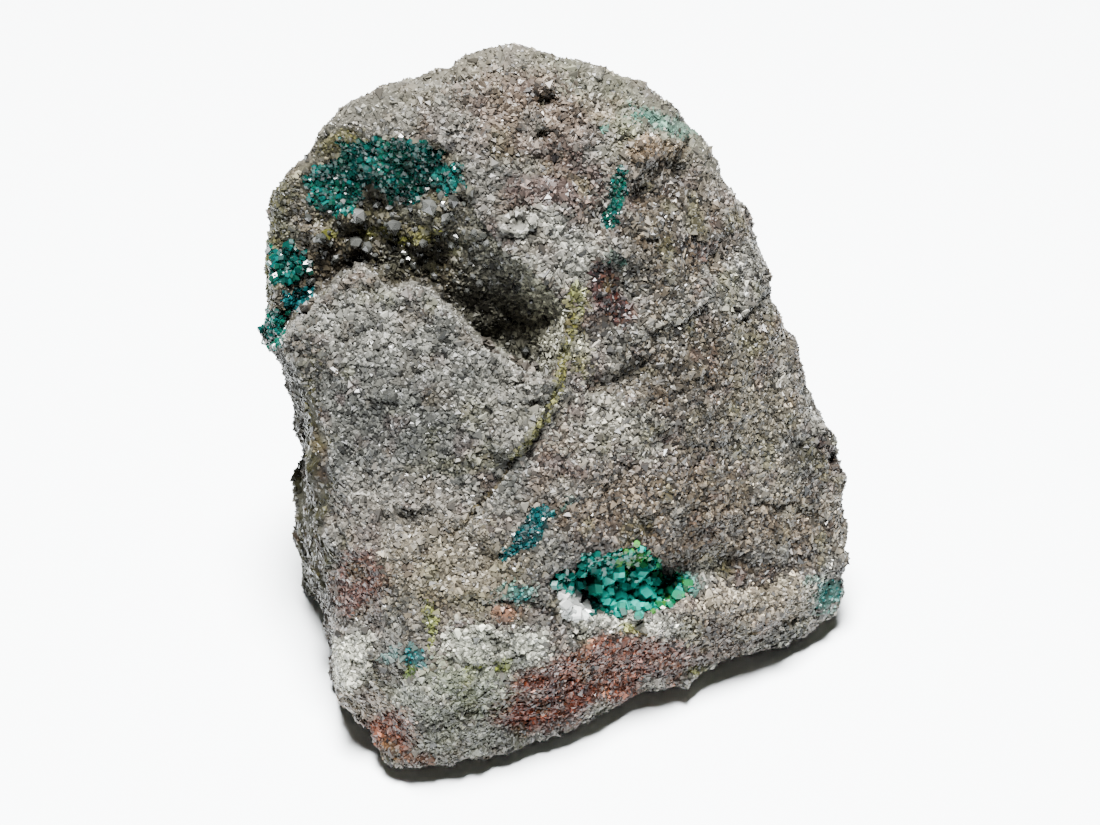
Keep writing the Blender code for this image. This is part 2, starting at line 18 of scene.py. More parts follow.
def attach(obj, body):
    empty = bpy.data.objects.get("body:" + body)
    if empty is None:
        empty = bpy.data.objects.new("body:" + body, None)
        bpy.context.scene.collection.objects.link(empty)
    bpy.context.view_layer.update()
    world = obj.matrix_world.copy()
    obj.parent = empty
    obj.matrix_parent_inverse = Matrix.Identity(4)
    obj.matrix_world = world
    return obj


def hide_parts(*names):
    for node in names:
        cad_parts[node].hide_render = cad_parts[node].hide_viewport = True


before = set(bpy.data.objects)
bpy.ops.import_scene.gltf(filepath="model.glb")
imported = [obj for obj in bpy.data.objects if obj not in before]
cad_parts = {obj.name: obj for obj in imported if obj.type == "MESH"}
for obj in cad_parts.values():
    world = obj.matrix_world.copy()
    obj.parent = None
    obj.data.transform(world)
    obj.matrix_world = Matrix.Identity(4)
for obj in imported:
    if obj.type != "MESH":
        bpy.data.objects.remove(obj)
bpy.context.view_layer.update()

MM = 0.001
Array = np.ndarray
Places = tuple[tuple[float, float], ...]
log = logging.getLogger("dioptase")


# ---- Shared measures ----


@dataclass(frozen=True)
class Sight:
    """The line of sight that the mineral face is laid out on.

    Across and up are measured in the plane through the centre, square to the line, and proud is
    the height out of that plane towards the eye.
    """

    tilt: float = math.radians(42.0)
    distance: float = 220.0
    centre: tuple[float, float, float] = (-1.0715, -2.372, 28.0)

    @property
    def out(self) -> Array:
        """The direction from the face towards the eye."""
        return np.array([0.0, -math.cos(self.tilt), math.sin(self.tilt)])

    @property
    def up(self) -> Array:
        """The direction that looks upright from the eye."""
        return np.array([0.0, math.sin(self.tilt), math.cos(self.tilt)])

    @property
    def eye(self) -> Array:
        """The place the face is looked at from."""
        return np.array(self.centre) + self.distance * self.out

    def seen(self, points: Array) -> Array:
        """Works out where points lie on the face: each ray's slope, times the distance.

        Args:
            points: (n, 3) places in millimetres.

        Returns:
            (n, 3) values of across, up and proud.
        """
        rel = points - self.eye
        reach = -(rel @ self.out)
        scale = self.distance / reach
        return np.stack([rel[:, 0] * scale, (rel @ self.up) * scale, self.distance - reach], axis=1)

    def facing(self, points: Array, normals: Array) -> Array:
        """Works out how squarely each place looks at the eye: 1 is straight, 0 is edge on.

        Args:
            points: (n, 3) places in millimetres.
            normals: (n, 3) outward directions there.

        Returns:
            (n,) cosines between the normal and the ray to the eye.
        """
        ray = self.eye - points
        ray /= np.linalg.norm(ray, axis=1)[:, None]
        return (ray * normals).sum(axis=1)


SIGHT = Sight()
ON_FACE = -0.1  # a place that looks at the eye less squarely than this is not on the mineral face


def linear(code: str) -> Array:
    """Turns an sRGB hex colour into linear red, green and blue."""
    value = np.array([int(code[i : i + 2], 16) for i in (0, 2, 4)]) / 255.0
    return np.where(value <= 0.04045, value / 12.92, ((value + 0.055) / 1.055) ** 2.4)


def blend(colour: Array, share: Array, tone: Array) -> Array:
    """Covers a share of each colour with a tone: colour (1 - share) + tone share.

    Args:
        colour: (n, 3) linear colours, or one for all.
        share: (n,) shares from 0 to 1.
        tone: (n, 3) linear colours, or one for all.

    Returns:
        (n, 3) linear colours.
    """
    share = share[:, None]
    return colour * (1.0 - share) + share * tone


def smoothstep(low: float, high: float, x: Array) -> Array:
    """Rises smoothly from 0 at low to 1 at high, as 3t² - 2t³."""
    t = np.clip((x - low) / (high - low), 0.0, 1.0)
    return t * t * (3.0 - 2.0 * t)


def cell_value(cells: Array, seed: int) -> Array:
    """Gives each whole-numbered cell a fixed number from -1 to 1, by mixing its coordinates.

    Args:
        cells: (n, 3) whole numbers.
        seed: which pattern.

    Returns:
        (n,) numbers.
    """
    mixed = cells @ np.array([73856093, 19349663, 83492791]) + seed * 2654435761
    mixed = (mixed ^ (mixed >> 13)) * 1274126177
    mixed = mixed ^ (mixed >> 16)
    return (mixed & 0xFFFFF) / float(0x7FFFF) - 1.0


def lumps(points: Array, cell: float, seed: int) -> Array:
    """Smooth noise from -1 to 1: corner values of a lattice, blended by smoothstep weights.

    Args:
        points: (n, 3) places in millimetres.
        cell: size of a lump in millimetres.
        seed: which pattern.

    Returns:
        (n,) heights.
    """
    q = points / cell
    base = np.floor(q).astype(np.int64)
    f = q - base
    f = f * f * (3.0 - 2.0 * f)
    total = np.zeros(len(points))
    for corner in np.ndindex(2, 2, 2):
        weight = np.prod(np.where(np.array(corner) == 1, f, 1.0 - f), axis=1)
        total += weight * cell_value(base + corner, seed)
    return total


def chips(points: Array, cell: float, seed: int) -> Array:
    """Flat tilted chips that meet in sharp edges: each place takes its nearest seed's plane.

    Args:
        points: (n, 3) places in millimetres.
        cell: size of a chip in millimetres.
        seed: which pattern.

    Returns:
        (n,) heights in millimetres.
    """
    q = points / cell
    base = np.floor(q).astype(np.int64)
    nearest = np.full(len(points), np.inf)
    height = np.zeros(len(points))
    for step in np.ndindex(3, 3, 3):
        cells = base + np.array(step) - 1
        jitter = np.stack([cell_value(cells, seed + k) for k in range(3)], axis=1)
        off = q - (cells + 0.5 + 0.45 * jitter)
        gap = (off**2).sum(axis=1)
        tilt = np.stack([cell_value(cells, seed + 5 + k) for k in range(3)], axis=1)
        closer = gap < nearest
        nearest = np.where(closer, gap, nearest)
        height = np.where(closer, (off * tilt).sum(axis=1), height)
    return height * cell


def line_gap(flat: Array, line: Places) -> Array:
    """Distance from each flat point to the nearest place on an open line.

    Args:
        flat: (n, 2) places on the face.
        line: the line's corners.

    Returns:
        (n,) distances in millimetres.
    """
    ends = np.asarray(line, float)
    start, run = ends[:-1], np.diff(ends, axis=0)
    rel = flat[:, None, :] - start
    t = np.clip((rel * run).sum(axis=2) / (run**2).sum(axis=1), 0.0, 1.0)
    return np.linalg.norm(rel - t[..., None] * run, axis=2).min(axis=1)


def inside(flat: Array, outline: Places) -> Array:
    """Finds which flat points lie inside a closed outline, by counting the edges to their right.

    Args:
        flat: (n, 2) places on the face.
        outline: the outline's corners.

    Returns:
        (n,) true where inside.
    """
    ends = np.asarray(outline, float)
    found = np.zeros(len(flat), bool)
    for (x0, y0), (x1, y1) in zip(ends, np.roll(ends, -1, axis=0)):
        if y0 != y1:
            crosses = (y0 > flat[:, 1]) != (y1 > flat[:, 1])
            found ^= crosses & (flat[:, 0] < (x1 - x0) * (flat[:, 1] - y0) / (y1 - y0) + x0)
    return found


def ragged(face: Array, reach: float, cell: float, seed: int) -> Array:
    """Shifts (across, up) by noise, so that an outline read there comes out ragged.

    Args:
        face: (n, 3) values of across, up and proud.
        reach: how far places shift, in millimetres.
        cell: size of a notch in millimetres.
        seed: which pattern.

    Returns:
        (n, 2) shifted places on the face.
    """
    flat = np.stack([face[:, 0], face[:, 1], np.zeros(len(face))], axis=1)
    shift = np.stack([lumps(flat, cell, seed), lumps(flat, cell, seed + 1)], axis=1)
    return face[:, :2] + reach * shift


def crust_places(face: Array) -> Array:
    """Where the crusts' outlines are read, so that film, rock and crystals end on one ragged line."""
    return ragged(face, 0.55, 0.9, 200)


def standing_turns(normals: Array, lean: float, generator: np.random.Generator) -> Array:
    """(n, 3, 3) turns that stand a crystal's Z on the surface, leaning and spun at random.

    Args:
        normals: (n, 3) directions to stand along.
        lean: how far the crystals lean, as the spread of the random vector that is added.
        generator: source of the leans and spins.

    Returns:
        Turns whose columns are each crystal's own X, Y and Z.
    """
    z = normals + lean * generator.normal(size=normals.shape)
    z /= np.linalg.norm(z, axis=1)[:, None]
    spin = generator.normal(size=normals.shape)
    x = spin - (spin * z).sum(axis=1)[:, None] * z
    x /= np.linalg.norm(x, axis=1)[:, None]
    return np.stack([x, np.cross(z, x), z], axis=2)


def shard_arrays(count: int, generator: np.random.Generator) -> tuple[Array, Array]:
    """Angular grains one unit across: a triangle above a turned one, with every corner pulled about.

    Args:
        count: how many grains.
        generator: source of the pulls.

    Returns:
        (n, 6, 3) corners around the origin, and the (8, 3) triangles of one grain.
    """
    turn = np.radians([0.0, 120.0, 240.0, 60.0, 180.0, 300.0])
    side = np.array([1.0, 1.0, 1.0, -1.0, -1.0, -1.0])
    base = np.stack([0.52 * np.cos(turn), 0.52 * np.sin(turn), 0.30 * side], axis=1)
    shapes = base * generator.uniform(0.75, 1.25, (count, 6, 1))
    shapes = shapes + generator.uniform(-0.12, 0.12, (count, 6, 3))
    sides = [(0, 1, 2), (3, 5, 4), (0, 3, 1), (1, 4, 2), (2, 5, 0), (3, 4, 1), (4, 5, 2), (5, 3, 0)]
    return shapes, np.array(sides)


def many(shapes: Array, sides: Array) -> tuple[Array, Array]:
    """Joins copies of a shape: the triangles of each copy are shifted by the points before it."""
    shift = shapes.shape[1] * np.arange(len(shapes))
    return shapes.reshape(-1, 3), (sides[None] + shift[:, None, None]).reshape(-1, 3)


def new_object(name: str, data: bpy.types.ID) -> bpy.types.Object:
    """Makes an object of the data and links it to the scene.

    Args:
        name: the object's name.
        data: its mesh, lamp or camera.

    Returns:
        The object.
    """
    obj = bpy.data.objects.new(name, data)
    bpy.context.scene.collection.objects.link(obj)
    return obj


def make_piece(name: str, points: Array, triangles: Array, material: bpy.types.Material,
               colours: Array | None = None) -> bpy.types.Object:
    """Puts points and triangles into a flat-shaded mesh object at the origin.

    Args:
        name: the piece's name.
        points: (n, 3) places in millimetres.
        triangles: (m, 3) corners, anticlockwise from outside.
        material: its finish.
        colours: (n, 3) linear colours, or one for each copy of a shape, kept as the attribute "tint".

    Returns:
        The object, linked to the scene.
    """
    mesh = bpy.data.meshes.new(name)
    mesh.vertices.add(len(points))
    mesh.vertices.foreach_set("co", (points * MM).astype(np.float32).ravel())
    mesh.loops.add(3 * len(triangles))
    mesh.loops.foreach_set("vertex_index", triangles.astype(np.int32).ravel())
    mesh.polygons.add(len(triangles))
    mesh.polygons.foreach_set("loop_start", np.arange(0, 3 * len(triangles), 3, dtype=np.int32))
    mesh.update(calc_edges=True)
    mesh.shade_flat()
    if colours is not None:
        paint(mesh, np.repeat(colours, len(points) // len(colours), axis=0))
    mesh.materials.append(material)
    return new_object(name, mesh)


def paint(mesh: bpy.types.Mesh, colours: Array) -> None:
    """Keeps a linear colour for each vertex as the attribute "tint".

    Args:
        mesh: the mesh to colour.
        colours: (n, 3) linear colours.
    """
    layer = mesh.color_attributes.new("tint", "FLOAT_COLOR", "POINT")
    rgba = np.ones((len(colours), 4), np.float32)
    rgba[:, :3] = colours
    layer.data.foreach_set("color", rgba.ravel())


def vertex_values(mesh: bpy.types.Mesh, name: str) -> Array:
    """Reads an (n, 3) value of the mesh's vertices, such as "co" or "normal".

    Args:
        mesh: the mesh to read.
        name: the value's name.

    Returns:
        (n, 3) numbers.
    """
    flat = np.empty(len(mesh.vertices) * 3, np.float32)
    mesh.vertices.foreach_get(name, flat)
    return flat.reshape(-1, 3).astype(float)


def points_of(mesh: bpy.types.Mesh) -> Array:
    """The mesh's vertices in millimetres."""
    return vertex_values(mesh, "co") / MM


def normals_of(mesh: bpy.types.Mesh) -> Array:
    """The mesh's vertex normals."""
    return vertex_values(mesh, "normal")


# ---- Layout of the face ----

BROW: Places = (
    (-25.8, 17.7), (-23.8, 20.9), (-20.8, 23.4), (-18.4, 24.6), (-13.5, 24.8), (-9.9, 24.3),
    (-8.2, 23.0), (-7.6, 20.7), (-6.7, 18.4), (-5.3, 16.2), (-3.9, 14.4), (-2.2, 13.0),
    (-0.5, 11.6), (0.9, 10.2), (1.6, 8.8), (1.2, 6.8), (1.0, 5.2), (0.2, 3.2),
)
PLATE_EDGE: Places = (
    (0.2, 3.2), (-1.8, 3.5), (-4.0, 4.5), (-6.5, 6.5), (-8.3, 8.5), (-9.8, 10.1), (-11.2, 11.0),
    (-12.6, 11.4), (-13.6, 11.0), (-14.8, 11.2), (-15.6, 11.6), (-16.4, 12.6), (-17.1, 13.7),
    (-17.8, 12.7), (-18.7, 11.9), (-19.7, 10.8), (-21.7, 9.2), (-22.8, 8.0), (-23.9, 6.5), (-25.6, 5.6),
)
HOLLOW: Places = BROW + PLATE_EDGE[1:]
CROWN: Places = (
    (-22.0, 22.2), (-19.0, 26.0), (-14.0, 28.8), (-8.0, 31.2), (-4.4, 33.0), (-0.5, 32.6), (4.0, 31.0),
    (8.0, 28.8), (12.0, 25.6), (15.0, 21.8),
)
CROWN_RISE: Places = (
    (-24.0, 0.6), (-19.7, 0.8), (-16.1, 0.5), (-12.6, 1.0), (-9.0, 0.5), (1.8, 0.5), (5.4, 0.95),
    (9.0, 0.5), (12.6, 0.7), (16.0, 0.1),
)
LEFT_SIDE: Places = (
    (-24.6, 3.4), (-22.2, 2.6), (-20.9, 1.1), (-19.9, -2.5), (-19.7, -6.0), (-20.0, -9.6), (-20.1, -18.3),
    (-22.0, -20.0), (-28.0, -10.0), (-26.5, 2.0),
)
VEIN: Places = ((2.4, 8.5), (1.3, 5.6), (0.9, 2.5), (-0.2, 0.0), (-1.8, -2.5), (-3.2, -4.0))
HAIRLINE: Places = ((-3.2, -4.0), (-6.3, -8.5), (-8.0, -10.3), (-9.4, -11.2))


@dataclass(frozen=True)
class Flake:
    """A thin raised chip with crisp edges, and its own colour."""

    outline: Places
    rise: float
    colour: str


FLAKES: tuple[Flake, ...] = (
    Flake(((-5.4, 1.1), (-2.7, 2.5), (0.4, 3.0), (1.6, 1.6), (-0.2, -0.6), (-3.1, -3.8), (-5.1, -3.1)),
          0.7, "a09d95"),
    Flake(((-4.5, 16.2), (-4.8, 17.1), (-3.8, 18.0), (-1.6, 17.8), (-1.3, 16.9), (-2.0, 15.9), (-4.0, 15.9)),
          1.1, "b5b3ac"),
    Flake(((6.8, 23.0), (7.2, 24.2), (8.6, 24.9), (10.6, 24.9), (12.2, 24.2), (11.3, 23.4), (8.5, 22.6)),
          0.55, "a89078"),
    Flake(((3.4, 14.6), (6.0, 15.8), (9.4, 15.0), (9.0, 12.8), (6.6, 13.8), (4.0, 13.2)), 0.3, "77726b"),
    Flake(((8.6, -0.2), (12.8, 1.6), (17.4, 0.2), (16.2, -2.6), (11.6, -2.8)), 0.35, "746e66"),
    Flake(((-17.4, 5.0), (-12.0, 6.2), (-9.0, 3.2), (-12.4, 0.6), (-16.8, 1.4)), 0.25, "7c7d79"),
    Flake(((14.0, -9.2), (19.6, -8.4), (23.8, -10.6), (20.0, -12.4), (15.2, -12.0)), 0.4, "7a6d5f"),
    Flake(((-8.2, -19.4), (-3.4, -19.2), (-2.0, -21.4), (-6.4, -22.8), (-9.6, -21.8)), 0.4, "a0a196"),
    Flake(((14.6, -17.0), (20.2, -15.6), (24.2, -17.0), (19.6, -19.2), (15.4, -19.4)), 0.4, "a3998b"),
    Flake(((-9.6, 24.4), (-8.4, 24.6), (-7.4, 23.0), (-8.2, 21.8), (-9.0, 22.6)), 0.4, "a3a199"),
    Flake(((-19.2, -19.4), (-16.6, -19.2), (-16.0, -22.2), (-17.0, -25.0), (-19.2, -24.0)), 0.4, "b4b4aa"),
)
CLEAN_FLAKE = FLAKES[1]  # the pale flake above the hollow, which carries few grains


@dataclass(frozen=True)
class Stain:
    """A patch of colour on the face: a turned ellipse with a ragged, speckled rim.

    The boost brightens the patches of milky white quartz past their own white: painted light where they face
    away from the lamp.
    """

    across: float
    up: float
    half_width: float
    half_height: float
    colour: str
    strength: float = 1.0
    turn: float = 0.0
    speckle: float = 0.35
    # above 1 this is painted light on a milky patch
    painted_light_boost: float = 1.0

    def cover(self, flat: Array, roll: Array) -> Array:
        """Share of the colour at each place: strength where 1 - r, plus a roll, passes zero.

        Args:
            flat: (n, 2) places on the face.
            roll: (n,) random numbers from -1 to 1, one for each grain.

        Returns:
            (n,) shares from 0 to 1.
        """
        angle = math.radians(self.turn)
        x, y = flat[:, 0] - self.across, flat[:, 1] - self.up
        along = (x * math.cos(angle) + y * math.sin(angle)) / self.half_width
        over = (-x * math.sin(angle) + y * math.cos(angle)) / self.half_height
        rim = 1.0 - np.hypot(along, over) + self.speckle * roll
        return self.strength * smoothstep(-0.25, 0.25, rim)


class Ground(Enum):
    """The rock's own colours, before stains."""

    GREY = "7f7d77"
    PINKISH = "7c716c"
    WARM = "7d7366"
    HIDDEN = "77716a"


STAINS: tuple[Stain, ...] = (
    Stain(-12.6, 0.2, 11.0, 13.0, "6a6b68", 0.95),
    Stain(-13.0, -9.5, 7.0, 4.0, "9b958d", 0.9),
    Stain(-16.5, 8.2, 6.0, 3.6, "a3a29c", 0.9),
    Stain(-3.0, 0.8, 4.6, 3.2, "a3a19a", 0.8),
    Stain(-8.5, -14.5, 6.5, 4.5, "a09684", 0.85),
    Stain(-13.5, 27.4, 8.0, 2.6, "95928a", 0.9, 22.0),
    Stain(-4.4, 31.0, 7.0, 1.8, "898273", 0.85),
    Stain(6.5, 27.6, 8.5, 2.6, "8f907f", 0.9, -32.0),
    Stain(-2.6, 27.0, 6.0, 3.2, "98877c", 0.9, -8.0),
    Stain(-0.9, 28.3, 1.3, 0.45, "33251e", 0.9),
    Stain(-0.6, 26.0, 0.6, 0.9, "33251e", 0.9),
    Stain(0.2, 21.0, 5.0, 3.2, "665450", 0.85, -10.0),
    Stain(-5.8, 20.8, 1.6, 3.6, "817f7a", 0.6),
    Stain(4.6, 27.6, 1.6, 1.1, "b5a58e", 0.8),
    Stain(9.3, 23.7, 2.8, 1.0, "a38d76", 0.9, -6.0),
    Stain(1.6, 14.2, 5.5, 2.8, "b7b6ae", 0.9, -25.0),
    Stain(11.0, 16.5, 5.5, 6.0, "595248", 0.85),
    Stain(12.0, 14.6, 2.2, 1.0, "45372c", 0.7, -15.0),
    Stain(13.5, 2.5, 7.0, 7.0, "5b5449", 0.9),
    Stain(19.0, 1.0, 3.4, 7.0, "777164", 0.85),
    Stain(5.4, -1.5, 4.4, 3.4, "a5a298", 0.8),
    Stain(6.0, -8.0, 7.0, 2.8, "75695c", 0.8),
    Stain(16.0, -9.5, 9.0, 4.5, "75695a", 0.85),
    Stain(17.5, -13.4, 6.0, 1.4, "483e34", 0.8, -2.0),
    Stain(9.5, -11.3, 4.5, 1.5, "5d4f42", 0.7),
    Stain(20.0, -5.8, 2.4, 1.6, "938d80", 0.7),
    Stain(24.0, -4.8, 1.6, 3.0, "4b423c", 0.8),
    Stain(10.5, 2.5, 2.4, 2.4, "4b453e", 0.6),
    Stain(18.8, -17.0, 5.8, 1.9, "d9ccb7", 0.95, 6.0),
    Stain(15.0, -20.3, 6.0, 1.9, "7c6c62", 0.85, 22.0),
    Stain(9.8, -20.6, 2.0, 1.3, "85807c", 0.8),
    Stain(7.0, -19.2, 4.6, 1.0, "cbcac0", 0.9, 0.0, 0.35, 1.4),
    Stain(7.3, -19.5, 0.8, 0.5, "97a040", 0.8, 0.0, 0.5),
    Stain(4.0, -23.4, 8.0, 2.9, "86503e", 1.0, 16.0, 0.15),
    Stain(-0.8, -26.2, 4.8, 2.2, "773924", 1.0, 16.0, 0.15),
    Stain(10.3, -23.2, 2.4, 1.1, "5f3f34", 0.85, 20.0),
    Stain(1.5, -27.6, 2.2, 0.8, "573a30", 0.8, 14.0),
    Stain(9.0, -24.1, 1.3, 0.9, "a5a29b", 0.85),
    Stain(13.5, -23.1, 1.2, 0.7, "74743a", 0.85),
    Stain(-5.0, -20.9, 4.6, 1.7, "dadbce", 0.95, -4.0, 0.3, 1.7),
    Stain(-8.5, -24.5, 4.5, 3.0, "b4baa5", 0.9),
    Stain(-12.6, -25.6, 3.2, 2.2, "babcb0", 0.9),
    Stain(-8.6, -29.0, 4.2, 1.6, "a9aa9e", 0.85),
    Stain(-14.2, -28.4, 2.3, 2.3, "7f4e3d", 1.0, 0.0, 0.2),
    Stain(-12.4, -31.2, 1.6, 0.6, "85563e", 0.8),
    Stain(-17.9, -22.1, 1.8, 3.0, "e6e5d8", 1.0, 0.0, 0.15, 2.6),
    # painted shadow: a dark line above the white block
    Stain(-17.9, -18.7, 1.2, 0.5, "2e2b27", 0.9, -10.0),
    Stain(-17.3, -15.0, 2.3, 2.8, "6f4d46", 0.95, 0.0, 0.25),
    Stain(-17.2, -25.8, 2.2, 1.7, "c4b5a6", 0.9),
    Stain(-21.5, -8.5, 1.7, 11.5, "423f22", 0.95),
    Stain(-20.6, 14.4, 4.6, 3.2, "66544a", 0.75),
    Stain(-14.5, 17.2, 6.5, 3.2, "504e35", 0.7, -10.0),
    # painted shade: a dark patch on the hollow's floor just above the plate's edge
    Stain(-12.6, 13.4, 4.6, 1.7, "34322a", 0.95, -8.0),
    Stain(-24.6, 17.0, 1.8, 4.4, "484825", 0.9),
    Stain(22.4, -3.2, 2.0, 1.2, "35302a", 0.8),
    Stain(5.5, 10.5, 3.2, 1.5, "2e1504", 1.0, -64.0, 0.1),
    Stain(-18.6, 23.8, 1.9, 1.1, "827c34", 0.9, 10.0),
    Stain(-15.4, 16.2, 1.8, 0.8, "8a8f22", 0.95),
    Stain(-19.3, 15.9, 0.6, 0.6, "8a8f22", 0.9),
    Stain(-12.0, 16.0, 2.2, 0.6, "868a2c", 0.9),
    Stain(-8.0, 14.6, 1.4, 0.6, "6f7138", 0.6),
    Stain(-25.2, 13.4, 0.6, 2.6, "8f9150", 0.9),
    Stain(2.3, 6.6, 1.0, 3.8, "6f6f42", 0.7, 8.0),
    Stain(2.9, 10.2, 0.8, 1.1, "767d3e", 0.65),
    Stain(-11.2, -18.6, 0.6, 1.8, "a0ac50", 0.75, 6.0, 0.5),
    Stain(-6.6, -22.7, 0.8, 0.4, "9aa546", 0.9, 0.0, 0.5),
    Stain(-4.5, -22.3, 0.8, 0.5, "a0ad3c", 0.95, 0.0, 0.5),
    Stain(-7.0, -25.0, 0.8, 1.2, "7c8050", 0.6, 20.0, 0.5),
    Stain(10.3, 26.1, 2.6, 0.7, "56b3a2", 0.85, -22.0, 0.6),
    Stain(4.8, 25.9, 0.5, 0.3, "6db8a8", 0.7),
    Stain(24.8, -16.6, 1.1, 1.2, "5f9c94", 0.75, 0.0, 0.6),
    Stain(23.3, -15.4, 0.5, 0.5, "5f9c94", 0.6),
    Stain(-3.0, -16.3, 1.6, 1.0, "5a958e", 0.75, 10.0, 0.6),
    Stain(-12.4, -22.2, 1.2, 0.9, "2f7f86", 0.8, 0.0, 0.5),
    Stain(-14.4, -21.9, 0.5, 0.6, "3d9a9c", 0.85, 0.0, 0.5),
    Stain(-12.8, -23.2, 0.7, 0.4, "5a7a2a", 0.85),
    Stain(11.8, -15.0, 1.2, 1.0, "4fa398", 0.7, 0.0, 0.6),
    Stain(-3.8, -18.1, 0.9, 0.5, "9c705a", 0.75),
    Stain(5.7, 14.0, 0.7, 0.9, "2a6a62", 0.7, 0.0, 0.6),
    Stain(6.0, 22.9, 0.35, 0.8, "26231f", 0.8),
    Stain(1.4, -8.3, 1.3, 0.4, "2c5f5b", 0.7, 25.0, 0.5),
)


# Specks in the grain of the rock: size of a speck, shift of the seed, colour.
SPECKS = ((1.5, 31, "5f4648"), (1.9, 37, "6a6a48"), (1.7, 43, "5e4a35"), (2.6, 47, "b4b2ac"))
# Narrow lines: where, half width, colour, strength. The pale line along the plate's edge is a painted
# highlight on the ledge's rim.
LINES = ((PLATE_EDGE, 0.35, "a4a29b", 0.5), (VEIN, 0.36, "75743c", 0.85), (HAIRLINE, 0.16, "4f4425", 0.85))


@dataclass(frozen=True)
class RockColour:
    """The colour of the rock at any place: ground tones, stains, and each grain's own shade."""

    seed: int = 5  # of the mottling
    vivid: float = 1.15  # how far colours are drawn away from grey
    warmth: float = 0.95  # the share of blue that is kept
    # the ceiling lies above white so that the painted-light boost can pass it
    brightest: float = 3.0
    hidden: float = 0.6  # the share of the guessed back that has its own tone

    def ground(self, points: Array) -> Array:
        """Blends the ground tones by slow noise: each weight is a smoothstep of its lumps.

        Args:
            points: (n, 3) places in millimetres.

        Returns:
            (n, 3) linear colours.
        """
        tone = np.tile(linear(Ground.GREY.value), (len(points), 1))
        layers = ((Ground.PINKISH, 9.0, 0), (Ground.WARM, 6.0, 3), (Ground.PINKISH, 3.0, 7))
        for kind, cell, shift in layers:
            share = 0.7 * smoothstep(0.0, 0.5, lumps(points, cell, self.seed + shift))
            tone = blend(tone, share, linear(kind.value))
        mottle = sum(size * lumps(points, cell, self.seed + shift)
                     for size, cell, shift in ((0.28, 5.0, 10), (0.28, 2.4, 11), (0.30, 1.1, 12)))
        return tone * np.exp(mottle)[:, None]

    def hollow(self, colour: Array, crisp: Array, shown: Array) -> Array:
        """Colours the hollow olive, with painted shade under the plate's edge, and on the right painted
        light: pale in the middle, within a rim of painted shade.

        Args:
            colour: (n, 3) linear colours so far.
            crisp: (n, 2) places on the face.
            shown: (n,) how much each place belongs to the mineral face.

        Returns:
            (n, 3) linear colours.
        """
        within = inside(crisp, HOLLOW) * shown
        edge = line_gap(crisp, PLATE_EDGE)
        colour = blend(colour, 0.4 * within, linear("77755d"))
        # painted shade: a dark band on the hollow's floor under the plate's edge
        colour = blend(colour, 0.85 * within * np.exp(-edge / 1.3), linear("453e37"))
        # painted light on the hollow's right part: a pale middle, with painted shade along the plate's edge
        # and the brow
        rim = np.exp(-np.minimum(edge, line_gap(crisp, BROW)) / 1.1)
        middle = np.exp(-((crisp - (-0.8, 9.0)) ** 2).sum(axis=1) / 8.0)
        tone = blend(blend(linear("98968a"), rim, linear("5c5c52")), middle, linear("ecead4"))
        return blend(colour, 0.9 * within * smoothstep(-10.0, -5.0, crisp[:, 0]), tone)

    def at(self, points: Array, normals: Array, roll: Array) -> Array:
        """Works out the colour at each place.

        Args:
            points: (n, 3) places in millimetres.
            normals: (n, 3) outward directions there.
            roll: (n,) random numbers from -1 to 1, one for each grain.

        Returns:
            (n, 3) linear colours.
        """
        face = SIGHT.seen(points)
        flat = ragged(face, 0.7, 2.2, self.seed + 20)
        crisp = face[:, :2] + 0.3 * (flat - face[:, :2])
        shown = smoothstep(-0.25, 0.05, SIGHT.facing(points, normals))
        colour = blend(self.ground(points), self.hidden * (1.0 - shown), linear(Ground.HIDDEN.value))
        for stain in STAINS:
            # a boost above 1 paints light onto the milky patches
            colour = blend(colour, stain.cover(flat, roll) * shown, stain.painted_light_boost * linear(stain.colour))
        for cell, shift, code in SPECKS:
            share = 0.38 * smoothstep(0.25, 0.75, lumps(points, cell, self.seed + shift))
            colour = blend(colour, share, linear(code))
        for flake in FLAKES:
            colour = blend(colour, 0.5 * inside(flat, flake.outline) * shown, linear(flake.colour))
        colour = blend(colour, 0.6 * np.exp(-line_gap(flat, CROWN) / 1.6) * shown, linear("9a968a"))
        colour = self.hollow(colour, crisp, shown)
        for line, half_width, code, strength in LINES:
            near = 1.0 - smoothstep(0.5, 1.4, line_gap(crisp, line) / half_width)
            colour = blend(colour, strength * near * shown, linear(code))
        film = crust_places(face)
        for crust in CRUSTS:
            share = crust.film * inside(film, crust.outline) * shown
            colour = blend(colour, share, crust.tints.colours()[0])
        grey = colour.mean(axis=1, keepdims=True)
        colour = (grey + self.vivid * (colour - grey)) * (1.0, 1.0, self.warmth)
        return np.clip(colour, 0.0, self.brightest)


# ---- Finishes ----


def add_node(tree: bpy.types.NodeTree, kind: str, settings: dict | None = None,
             links: dict | None = None) -> bpy.types.Node:
    """Adds a node with its settings and the links into it.

    Args:
        tree: the material's node tree.
        kind: the node's type name.
        settings: values by property name, or by input name or number.
        links: output sockets by input name or number.

    Returns:
        The new node.
    """
    node = tree.nodes.new(kind)
    for key, value in (settings or {}).items():
        if isinstance(key, str) and hasattr(node, key):
            setattr(node, key, value)
        else:
            node.inputs[key].default_value = value
    for key, socket in (links or {}).items():
        tree.links.new(socket, node.inputs[key])
    return node


def start_material(name: str, values: dict, tinted: bool = True) -> bpy.types.Material:
    """Starts a material with constants on its shader's own inputs.

    Args:
        name: the material's name.
        values: the shader's values by input name.
        tinted: whether the mesh's own "tint" colours it.

    Returns:
        The material.
    """
    material = bpy.data.materials.new(name)
    material.use_nodes = True
    tree = material.node_tree
    shader = tree.nodes["Principled BSDF"]
    for key, value in values.items():
        shader.inputs[key].default_value = value
    if tinted:
        tint = add_node(tree, "ShaderNodeVertexColor", {"layer_name": "tint"})
        tree.links.new(tint.outputs["Color"], shader.inputs["Base Color"])
    return material


QUARTZ_IOR = 1.544
DIOPTASE_IOR = 1.68


